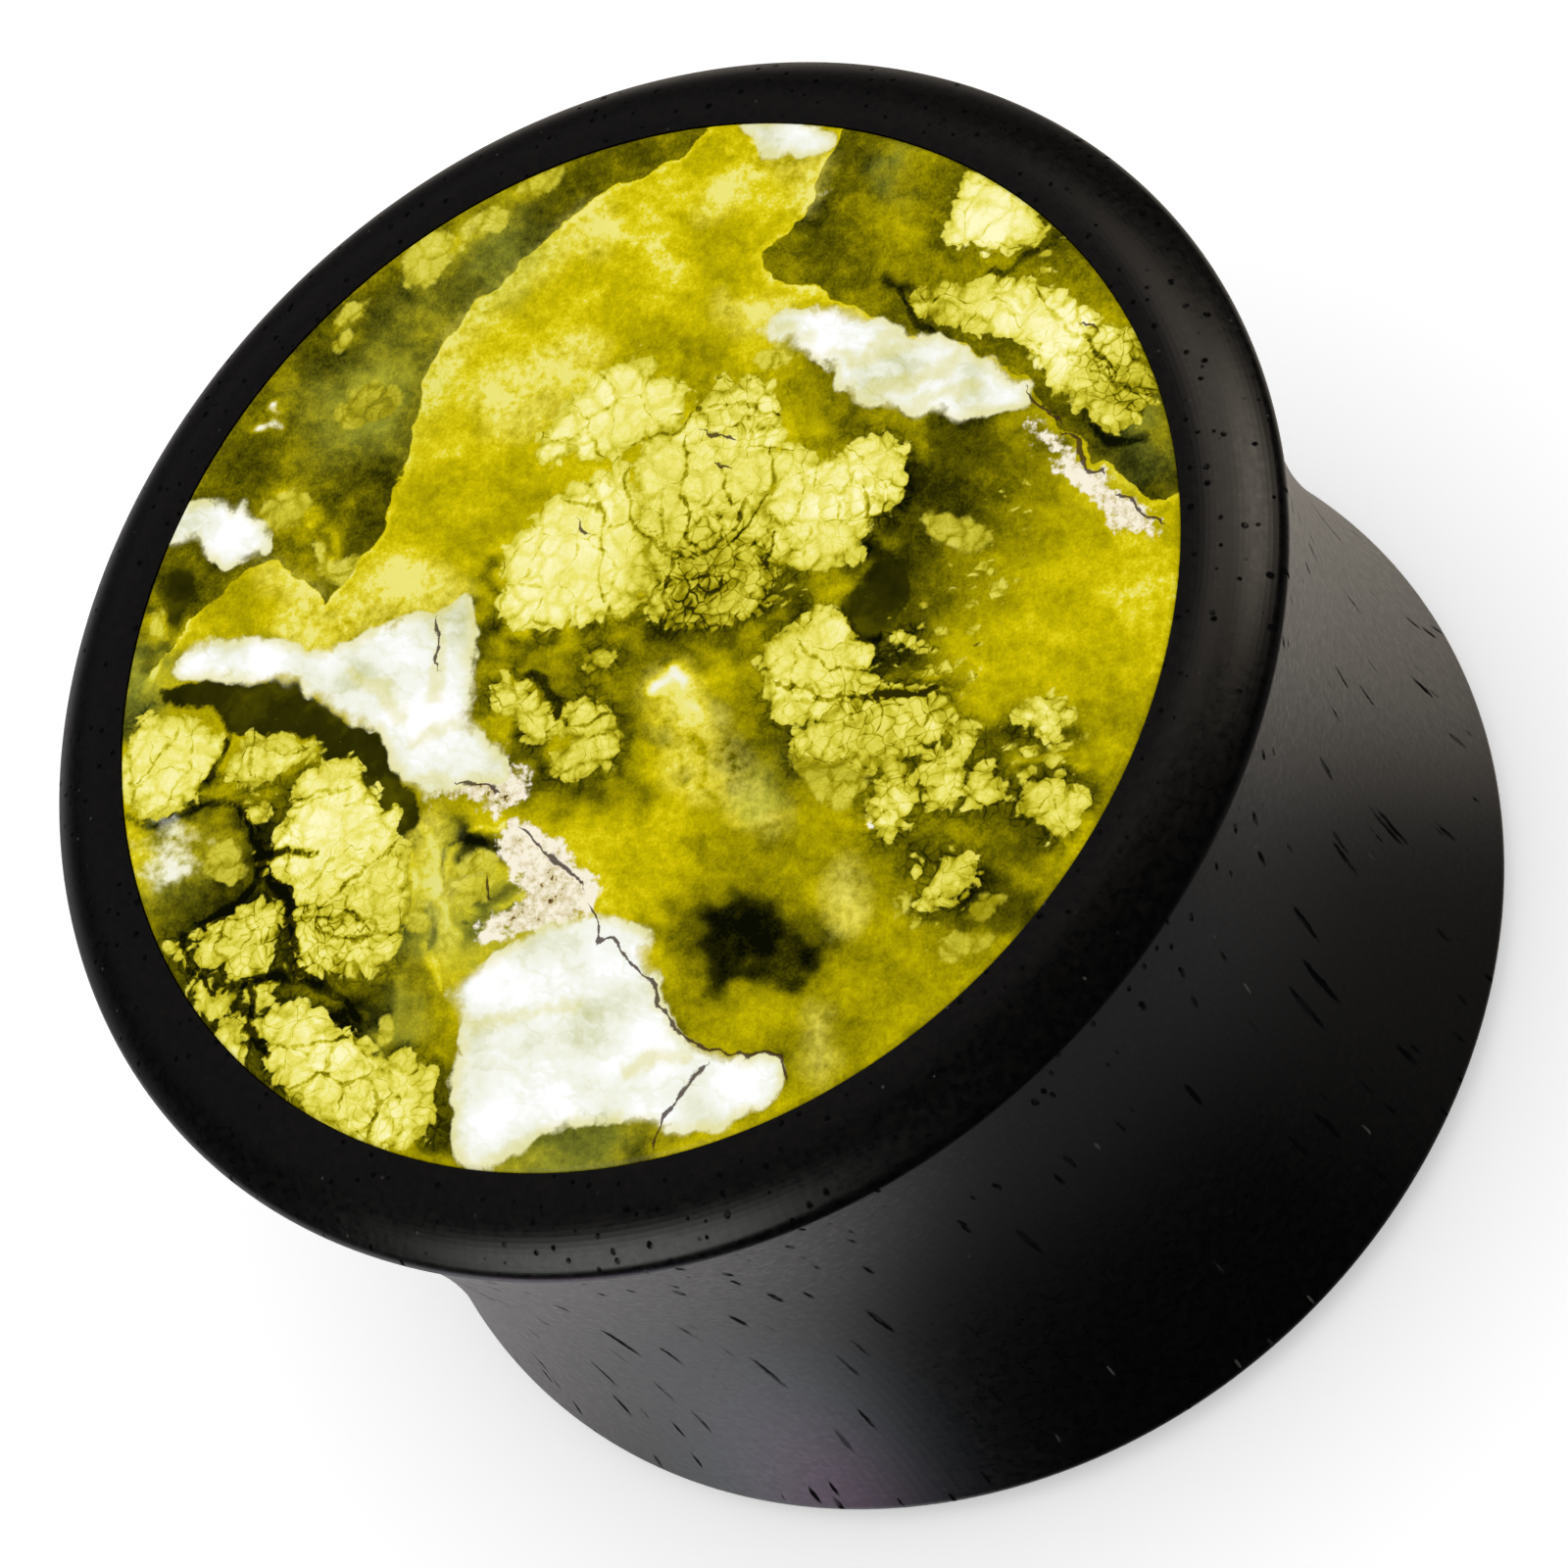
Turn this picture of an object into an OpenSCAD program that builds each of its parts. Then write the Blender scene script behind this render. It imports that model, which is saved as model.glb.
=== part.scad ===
// Double flared saddle plug for a stretched ear lobe: a turned black wood body with a polished
// stone disc let into its front face. It stands on its back face, with the stone upwards.

/* [Plug] */
// Gauge of the plug: the diameter of its waist, where the lobe sits
gauge_d = 20; // [12:0.5:40]
// Height of the front flare above the waist, measured on the radius
front_rise = 1; // [0.5:0.1:2]
// Height of the back flare above the waist, measured on the radius
back_rise = 0.5; // [0.3:0.1:2]
// Length of the wooden body between its two flat ends
body_len = 13.5; // [9:0.5:25]

/* [Rim] */
// Width of the wood left round the stone
rim_w = 1.55; // [1.2:0.05:2.4]
// Width of the flat ring next to the stone, before the end rounds over
rim_flat = 0.15; // [0.05:0.05:0.5]
// Distance of a flare's widest circle behind the flat end
rim_drop = 0.74; // [0.5:0.02:1.2]
// Radius of the small lip at the edge of each flare
lip_r = 0.3; // [0.15:0.05:0.4]

/* [Stone] */
// Thickness of the stone disc
stone_t = 2.5; // [1.5:0.1:4]
// Height of the stone's polished face above the wood
stone_proud = 0.03; // [0:0.01:0.2]
// Size of the polished bevel round the stone's edge
stone_bevel = 0.06; // [0.02:0.01:0.2]
// Clearance between the stone and its seat, filled by glue
seat_gap = 0.02; // [0.01:0.01:0.1]

/* [Hidden] */
$fn = 360;

waist_r = gauge_d / 2;
front_r = waist_r + front_rise;
back_r = waist_r + back_rise;

// The stone and its seat follow the front flare and the width of its rim.
stone_r = front_r - rim_w;
seat_r = stone_r + seat_gap;
seat_z = body_len + stone_proud - stone_t - seat_gap;

// Each end rounds over from its flat face on the crown, a wide arc that runs into the lip's small
// arc without a corner. Its radius follows from where the lip sits.
crown_w = rim_w - rim_flat;
crown_r = ((crown_w - lip_r) ^ 2 + rim_drop ^ 2 - lip_r ^ 2) / (2 * (rim_drop - lip_r));

// One hollow arc runs from lip to lip and is as deep as the waist. The distance from its centre
// to each lip's centre solves the quadratic that the two flares give. It bites a little into the
// lips, so that the arcs meet in a clear crossing.
lip_bite = 0.001;
front_sink = front_rise - lip_bite;
back_sink = back_rise - lip_bite;
lip_span = body_len - 2 * rim_drop;
sink_sum = front_sink + back_sink;
sink_skew = (front_sink - back_sink) / lip_span;
span_term = lip_span ^ 2 / 4 - front_sink * back_sink;
lip_dist = span_term / (sink_sum / 2 + sqrt(sink_sum ^ 2 / 4 - sink_skew ^ 2 * span_term))
    + sink_sum / 2;
hollow_r = lip_dist - lip_r + lip_bite;
waist_z = rim_drop + sqrt(back_sink * (2 * lip_dist - back_sink));

// How far a cut corner or a cutter reaches past the outline that it leaves
overcut = 0.5;
// Straight steps that a rounded edge is turned in
crown_steps = 14;
lip_steps = 10;

// Point at a distance and angle from another point
function polar(from, r, angle) = from + r * [cos(angle), sin(angle)];

// Angle of the line from one point to another
function heading(from, to) = atan2(to.y - from.y, to.x - from.x);

// Points of an arc from one angle to another, without its first point
function arc(centre, r, first, last, steps) =
    [for (i = [1:steps]) polar(centre, r, first + (last - first) * i / steps)];

// Outline of the body from one flat end, at height 0, down to the waist
module half_outline(flare_r, half_len) {
    crown = [flare_r - crown_w, -crown_r];
    lip = [flare_r - lip_r, -rim_drop];
    hollow = [waist_r + hollow_r, -half_len];
    crown_end = heading(crown, lip);
    lip_end = heading(lip, hollow);
    difference() {
        polygon(concat(
            [[0, -half_len], [0, 0], [crown.x, 0]],
            arc(crown, crown_r, 90, crown_end, crown_steps),
            arc(lip, lip_r, crown_end, lip_end, lip_steps),
            [polar(lip, lip_r + overcut, lip_end), [waist_r + overcut, -half_len]]));
        translate(hollow) circle(hollow_r);
    }
}

// Turned wooden body, with the blind seat for the stone cut into its front end
module wood_saddle() {
    color("#1c1814")
    difference() {
        rotate_extrude() {
            translate([0, body_len]) half_outline(front_r, body_len - waist_z);
            mirror([0, 1]) half_outline(back_r, waist_z);
        }
        translate([0, 0, seat_z]) cylinder(body_len - seat_z + overcut, r = seat_r);
    }
}

// Stone disc, polished flat with a fine bevel round its edge
module stone_inlay() {
    color("#a8a02c")
    translate([0, 0, seat_z + seat_gap])
    rotate_extrude()
    polygon([[0, 0], [stone_r, 0], [stone_r, stone_t - stone_bevel],
        [stone_r - stone_bevel, stone_t], [0, stone_t]]);
}

wood_saddle();
stone_inlay();
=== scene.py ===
import math

import bpy
import numpy as np
from mathutils import Matrix, Vector


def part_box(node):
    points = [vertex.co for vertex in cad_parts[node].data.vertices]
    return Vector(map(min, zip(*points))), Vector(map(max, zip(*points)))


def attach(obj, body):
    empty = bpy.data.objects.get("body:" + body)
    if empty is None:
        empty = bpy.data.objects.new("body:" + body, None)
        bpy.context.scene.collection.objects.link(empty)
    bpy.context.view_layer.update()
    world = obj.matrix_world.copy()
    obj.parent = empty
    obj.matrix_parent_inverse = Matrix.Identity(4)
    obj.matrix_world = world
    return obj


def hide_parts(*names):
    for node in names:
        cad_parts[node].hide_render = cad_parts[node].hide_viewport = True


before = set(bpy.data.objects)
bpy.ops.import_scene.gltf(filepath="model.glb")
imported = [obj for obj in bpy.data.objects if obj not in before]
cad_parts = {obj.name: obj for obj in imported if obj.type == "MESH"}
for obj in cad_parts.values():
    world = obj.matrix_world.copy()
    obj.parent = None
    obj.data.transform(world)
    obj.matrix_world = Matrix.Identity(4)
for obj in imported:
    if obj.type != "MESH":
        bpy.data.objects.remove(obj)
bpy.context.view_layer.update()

# Wood saddle. The body of the plug is one piece of open-pored black wood, turned on a lathe
# with a wide flare at the front, a lower one at the back and a hollow waist between them. The
# front end is bored out for the stone, and the whole is sanded fine and waxed, not varnished.

MM = 0.001
saddle_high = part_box("wood_saddle")[1]
stone_low, stone_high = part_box("stone_inlay")
front_r = saddle_high[0]
body_len = saddle_high[2]
stone_r = stone_high[0]
front_rise = 1.0 * MM
back_rise = 0.5 * MM
waist_r = front_r - front_rise
back_r = waist_r + back_rise
rim_flat = 0.15 * MM
rim_drop = 0.74 * MM
lip_r = 0.3 * MM
seat_gap = 0.02 * MM
seat_z = stone_low[2] - seat_gap
crown_w = front_r - stone_r - rim_flat
crown_r = ((crown_w - lip_r) ** 2 + rim_drop ** 2 - lip_r ** 2) / (2 * (rim_drop - lip_r))
saddle_segments = 360
crown_steps = 16
lip_steps = 12
hollow_steps = 48


class Wire:
    """An output of a node. Operators on numbers add Math nodes to its tree."""

    def __init__(self, tree, node, output=0):
        self.tree = tree
        self.node = node
        self.socket = node.outputs[output] if node.outputs else None

    def out(self, output):
        return Wire(self.tree, self.node, output)

    def maths(self, operation, *values):
        return add_node(self.tree, "ShaderNodeMath", {"operation": operation}, dict(enumerate(values)))

    def __add__(self, other):
        return self.maths("ADD", self, other)

    def __radd__(self, other):
        return self.maths("ADD", other, self)

    def __sub__(self, other):
        return self.maths("SUBTRACT", self, other)

    def __rsub__(self, other):
        return self.maths("SUBTRACT", other, self)

    def __mul__(self, other):
        return self.maths("MULTIPLY", self, other)

    def __rmul__(self, other):
        return self.maths("MULTIPLY", other, self)

    def __truediv__(self, other):
        return self.maths("DIVIDE", self, other)

    def __lt__(self, other):
        return self.maths("LESS_THAN", self, other)

    def floor(self):
        return self.maths("FLOOR", self)

    def least(self, other):
        return self.maths("MINIMUM", self, other)

    def most(self, other):
        return self.maths("MAXIMUM", self, other)

    def size(self):
        return self.maths("ABSOLUTE", self)

    def step(self, low, high, to_low=0.0, to_high=1.0):
        """Runs smoothly from to_low to to_high as the value goes from low to high."""
        inputs = {"Value": self, "From Min": low, "From Max": high, "To Min": to_low, "To Max": to_high}
        return add_node(self.tree, "ShaderNodeMapRange", {"interpolation_type": "SMOOTHSTEP"}, inputs)


def add_node(tree, kind, settings, inputs, output=0):
    """Adds a node: its settings first, then the values or links of its sockets."""
    node = tree.nodes.new(kind)
    for name, value in settings.items():
        if name == "stops":
            ramp = node.color_ramp.elements
            while len(ramp) < len(value):
                ramp.new(1.0)
            for element, (place, colour) in zip(ramp, value):
                element.position = place
                element.color = colour
        else:
            setattr(node, name, value)
    for name, value in inputs.items():
        if isinstance(value, Wire):
            tree.links.new(value.socket, node.inputs[name])
        else:
            node.inputs[name].default_value = value
    return Wire(tree, node, output)


def colour(red, green, blue):
    """Colour of a screen value from 0 to 255, as the linear value that a socket takes."""
    parts = [part / 255 for part in (red, green, blue)]
    return [p / 12.92 if p < 0.04045 else ((p + 0.055) / 1.055) ** 2.4 for p in parts] + [1.0]


def new_tree(owner):
    """Empty node tree of a material or of the world."""
    owner.use_nodes = True
    owner.node_tree.nodes.clear()
    return owner.node_tree


def mix(factor, first, second):
    """Goes from the first colour to the second as the factor goes from 0 to 1."""
    return add_node(factor.tree, "ShaderNodeMix", {"data_type": "RGBA"},
                    {"Factor": factor, "A": first, "B": second}, 2)


def place_in_mm(tree):
    """Place on the piece, in mm from the origin."""
    place = add_node(tree, "ShaderNodeTexCoord", {}, {}, "Object")
    return add_node(tree, "ShaderNodeMapping", {}, {"Vector": place, "Scale": [1 / MM] * 3})


def pushed(place, push, amount):
    """A place moved by a noise's colour, so that what is drawn there runs crooked."""
    return add_node(place.tree, "ShaderNodeVectorMath", {"operation": "MULTIPLY_ADD"}, {
        0: push, 1: (amount, amount, amount), 2: place})


def arc(centre, radius, first, last, steps):
    """Points of an arc between two angles in degrees, as distance from the axis and height."""
    angles = np.radians(np.linspace(first, last, steps + 1))
    return [(centre[0] + radius * math.cos(a), centre[1] + radius * math.sin(a)) for a in angles]


def turning_tree():
    """Turns an outline round the Z axis, welds its seam and poles, and keeps sharp corners."""
    tree = bpy.data.node_groups.new("turning", "GeometryNodeTree")
    face = tree.interface
    for name, kind in (("Outline", "Geometry"), ("Segments", "Int"), ("Weld distance", "Float"),
                       ("Sharp angle", "Float"), ("Material", "Material")):
        face.new_socket(name, in_out="INPUT", socket_type="NodeSocket" + kind)
    face.new_socket("Piece", in_out="OUTPUT", socket_type="NodeSocketGeometry")
    given = add_node(tree, "NodeGroupInput", {}, {})
    outline = given.out("Outline")
    segments = given.out("Segments")
    points = add_node(tree, "GeometryNodeAttributeDomainSize", {}, {"Geometry": outline}, "Point Count")
    grid = add_node(tree, "GeometryNodeMeshGrid", {}, {"Vertices X": segments + 1, "Vertices Y": points})
    index = add_node(tree, "GeometryNodeInputIndex", {}, {})
    turn = (index / points).floor()
    place = add_node(tree, "GeometryNodeSampleIndex", {"data_type": "FLOAT_VECTOR"}, {
        "Geometry": outline,
        "Value": add_node(tree, "GeometryNodeInputPosition", {}, {}),
        "Index": index - turn * points,
    })
    angle = turn * math.tau / segments
    turned = add_node(tree, "ShaderNodeVectorRotate", {"rotation_type": "Z_AXIS"},
                      {"Vector": place, "Angle": angle})
    shape = add_node(tree, "GeometryNodeSetPosition", {}, {"Geometry": grid, "Position": turned})
    welded = add_node(tree, "GeometryNodeMergeByDistance", {},
                      {"Geometry": shape, "Distance": given.out("Weld distance")})
    bend = add_node(tree, "GeometryNodeInputMeshEdgeAngle", {}, {}, "Unsigned Angle")
    smooth = add_node(tree, "GeometryNodeSetShadeSmooth", {"domain": "EDGE"},
                      {"Geometry": welded, "Shade Smooth": bend < given.out("Sharp angle")})
    whole = add_node(tree, "GeometryNodeRealizeInstances", {}, {"Geometry": smooth})
    dressed = add_node(tree, "GeometryNodeSetMaterial", {},
                       {"Geometry": whole, "Material": given.out("Material")})
    add_node(tree, "NodeGroupOutput", {}, {"Piece": dressed})
    return tree


TURNING = turning_tree()


def turn_piece(name, outline, segments, material):
    """Makes a solid of revolution from (distance from the axis, height) points, top to bottom."""
    drawing = bpy.data.meshes.new(name + "_outline")
    points = [(r, 0.0, z) for r, z in outline]
    drawing.from_pydata(points, [(i, i + 1) for i in range(len(points) - 1)], [])
    draft = bpy.data.objects.new(name + "_draft", drawing)
    bpy.context.collection.objects.link(draft)
    modifier = draft.modifiers.new("turning", "NODES")
    modifier.node_group = TURNING
    values = {"Segments": segments, "Weld distance": 0.0001 * MM, "Sharp angle": math.radians(30),
              "Material": material}
    for item in TURNING.interface.items_tree:
        if item.in_out == "INPUT" and item.name in values:
            modifier[item.identifier] = values[item.name]
    evaluated = draft.evaluated_get(bpy.context.evaluated_depsgraph_get())
    mesh = bpy.data.meshes.new_from_object(evaluated)
    mesh.name = name
    bpy.data.objects.remove(draft)
    piece = bpy.data.objects.new(name, mesh)
    bpy.context.collection.objects.link(piece)
    return piece


def saddle_outline():
    """Outline of the wood: seat, front rim, front lip, waist, back lip and back face."""
    front_crown = (front_r - crown_w, body_len - crown_r)
    front_lip = (front_r - lip_r, body_len - rim_drop)
    back_crown = (back_r - crown_w, crown_r)
    back_lip = (back_r - lip_r, rim_drop)
    crown_end = math.degrees(math.atan2(front_lip[1] - front_crown[1], front_lip[0] - front_crown[0]))
    front_sink = front_lip[0] + lip_r - waist_r
    back_sink = back_lip[0] + lip_r - waist_r
    span = front_lip[1] - back_lip[1]
    sink_sum = front_sink + back_sink
    skew = (front_sink - back_sink) / span
    term = span ** 2 / 4 - front_sink * back_sink
    reach = term / (sink_sum / 2 + math.sqrt(sink_sum ** 2 / 4 - skew ** 2 * term)) + sink_sum / 2
    hollow_r = reach - lip_r
    waist_z = back_lip[1] + math.sqrt(back_sink * (2 * reach - back_sink))
    hollow = (waist_r + hollow_r, waist_z)
    to_front = math.degrees(math.atan2(front_lip[1] - hollow[1], front_lip[0] - hollow[0]))
    to_back = math.degrees(math.atan2(back_lip[1] - hollow[1], back_lip[0] - hollow[0])) % 360
    points = [(0.0, seat_z), (stone_r + seat_gap, seat_z), (stone_r + seat_gap, body_len)]
    points += arc(front_crown, crown_r, 90, crown_end, crown_steps)
    points += arc(front_lip, lip_r, crown_end, to_front - 180, lip_steps)[1:]
    points += arc(hollow, hollow_r, to_front, to_back, hollow_steps)[1:-1]
    points += arc(back_lip, lip_r, to_back - 180, -crown_end, lip_steps)
    points += arc(back_crown, crown_r, -crown_end, -90, crown_steps)[1:]
    return points + [(0.0, 0.0)]


def wood_material():
    """Waxed timber with open pores along the grain, some of them filled with pale dust."""
    material = bpy.data.materials.new("waxed_black_wood")
    tree = new_tree(material)

    def noise(scale, detail, place, output="Fac"):
        return add_node(tree, "ShaderNodeTexNoise", {}, {
            "Vector": place, "Scale": scale, "Detail": detail, "Roughness": 0.65}, output)

    grain_lean = (0.05, 0.03, 0.0)
    grain_stretch = (1.0, 1.0, 0.06)
    pores_per_mm = 3.7
    smallest_pore = 0.09
    pore_growth = 0.17
    dark_fibre, light_fibre = (0.0010, 0.0010, 0.0012, 1), (0.0035, 0.0028, 0.0022, 1)
    dark_dust, pale_dust = (0.0012, 0.0012, 0.0014, 1), (0.040, 0.038, 0.034, 1)

    in_mm = place_in_mm(tree)
    crooked = pushed(in_mm, noise(2.5, 2, in_mm, "Color"), 0.07)
    grain = add_node(tree, "ShaderNodeMapping", {}, {
        "Vector": crooked, "Rotation": grain_lean, "Scale": grain_stretch})
    strand = noise(11, 1, grain)
    fibre = noise(7, 3, in_mm)
    pore = add_node(tree, "ShaderNodeTexVoronoi", {}, {"Vector": grain, "Scale": pores_per_mm})
    pick = add_node(tree, "ShaderNodeSeparateColor", {}, {"Color": pore.out("Color")}, "Red")
    pore_size = smallest_pore + pick * pore_growth
    hole = (1 - (pore / pore_size).step(0.65, 1.1)) * (0.6 + strand.step(0.4, 0.55) * 0.4)

    timber = mix(fibre.step(0.4, 0.75), dark_fibre, light_fibre)
    dust = mix(pick.step(0.22, 0.18), dark_dust, pale_dust)
    polished = add_node(tree, "ShaderNodeBsdfPrincipled", {}, {
        "Base Color": timber, "Roughness": 0.30 + (fibre - 0.5) * 0.25})
    open_pore = add_node(tree, "ShaderNodeBsdfPrincipled", {}, {
        "Base Color": dust, "Roughness": 0.9, "Specular IOR Level": 0.05})
    shader = add_node(tree, "ShaderNodeMixShader", {}, {0: hole, 1: polished, 2: open_pore})
    add_node(tree, "ShaderNodeOutputMaterial", {}, {"Surface": shader})
    return material


saddle = turn_piece("turned_saddle", saddle_outline(), saddle_segments, wood_material())
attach(saddle, "root")
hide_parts("wood_saddle")

# Stone inlay. A disc cut from yellow-green stone, in which white bands, broken pale yellow
# grains and cracks lie in a clear golden ground. It is glued into the seat and polished flat
# with the wood, with a fine bevel round its edge.

stone_bevel = 0.06 * MM
ring_count = 140
stone_segments = 600

# Outlines of the patches seen in the polished face, in mm from its centre: x, y, x, y and so on.
# Windows where the golden sheet is missing and darker ground shows.
DEEP = [
    [-1.3, 8.1, -2.0, 7.7, -2.4, 7.3, -3.1, 6.9, -3.4, 6.5, -3.8, 6.05, -3.95, 5.7, -4.0, 5.1, -4.05, 4.7,
     -4.3, 4.1, -4.5, 3.5, -4.6, 3.1, -4.75, 2.75, -5.0, 2.5, -5.3, 2.3, -5.5, 1.9, -5.6, 1.65, -5.75, 1.9,
     -6.1, 2.3, -6.5, 2.8, -7.0, 2.85, -7.6, 2.4, -8.2, 2.0, -8.6, 1.6, -8.8, 1.2, -9.6, 0.8, -9.8, 3.0,
     -8.0, 6.5, -5.0, 9.0, -2.0, 9.8, 1.3, 9.7, 1.3, 9.2, 0.7, 8.9, 0.0, 8.6, -0.6, 8.6, -1.0, 8.4],
    [3.6, 8.2, 3.2, 7.8, 3.2, 7.5, 3.0, 7.1, 2.6, 6.8, 2.2, 6.7, 2.2, 6.4, 2.4, 6.1, 2.9, 5.85, 3.4, 5.6,
     3.8, 5.2, 4.2, 4.95, 4.5, 4.7, 5.0, 4.3, 5.7, 4.1, 6.1, 3.75, 6.6, 3.3, 7.0, 3.0, 7.3, 2.3, 7.9, 1.5,
     8.5, 0.9, 9.1, 0.2, 9.7, 0.5, 9.3, 4.0, 7.0, 7.0, 4.5, 9.0, 3.8, 9.0],
]
# White bands.
WHITE = [
    [-8.45, 1.35, -8.1, 1.65, -7.5, 1.5, -6.7, 1.4, -6.3, 1.1, -5.2, 0.9, -4.2, 1.25, -3.4, 1.2, -2.9, 1.4,
     -2.85, 0.5, -2.9, -0.5, -2.75, -1.2, -2.25, -1.8, -2.1, -2.1, -2.3, -2.4, -3.0, -2.2,
     -3.65, -2.35, -4.0, -2.05, -4.35, -1.55, -4.6, -1.0, -5.0, -0.65, -5.5, -0.4, -6.0, 0.2, -7.0, 0.6,
     -8.0, 0.75, -8.5, 1.0],
    [2.1, 5.2, 3.0, 5.45, 3.6, 5.3, 4.1, 5.0, 4.6, 4.7, 5.0, 4.35, 5.6, 4.15, 6.0, 3.8, 6.45, 3.45,
     6.65, 3.15, 7.05, 2.95, 7.0, 2.5, 6.65, 2.5, 5.75, 2.6, 5.2, 2.65, 4.75, 3.0, 3.85, 3.3, 3.6, 3.85,
     3.2, 4.3, 2.8, 4.7, 2.35, 4.8],
    [-3.3, -5.9, -2.9, -5.6, -2.2, -5.3, -1.6, -4.95, -0.5, -5.0, 0.0, -5.2, 0.4, -5.6, 0.5, -6.2,
     0.6, -6.8, 0.9, -7.4, 1.2, -7.6, 2.0, -8.0, 2.7, -8.1, 2.8, -8.4, 2.5, -8.9, 1.5, -9.25, 0.6, -9.1,
     0.1, -8.75, -0.6, -8.7, -1.5, -8.7, -1.9, -9.0, -3.0, -9.2, -3.1, -8.0, -3.1, -7.2, -2.9, -6.7,
     -3.1, -6.2],
    [-9.1, 3.6, -8.7, 4.2, -8.4, 4.4, -7.8, 4.3, -7.5, 4.0, -7.2, 4.2, -7.0, 3.7, -6.7, 3.3, -6.7, 3.0,
     -7.2, 2.9, -7.9, 2.9, -8.1, 3.4, -8.6, 3.6],
    [1.8, 9.3, 2.4, 9.3, 3.1, 9.1, 3.5, 8.8, 3.65, 8.3, 3.2, 8.15, 2.8, 8.3, 2.3, 8.5, 2.0, 8.8],
]
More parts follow.
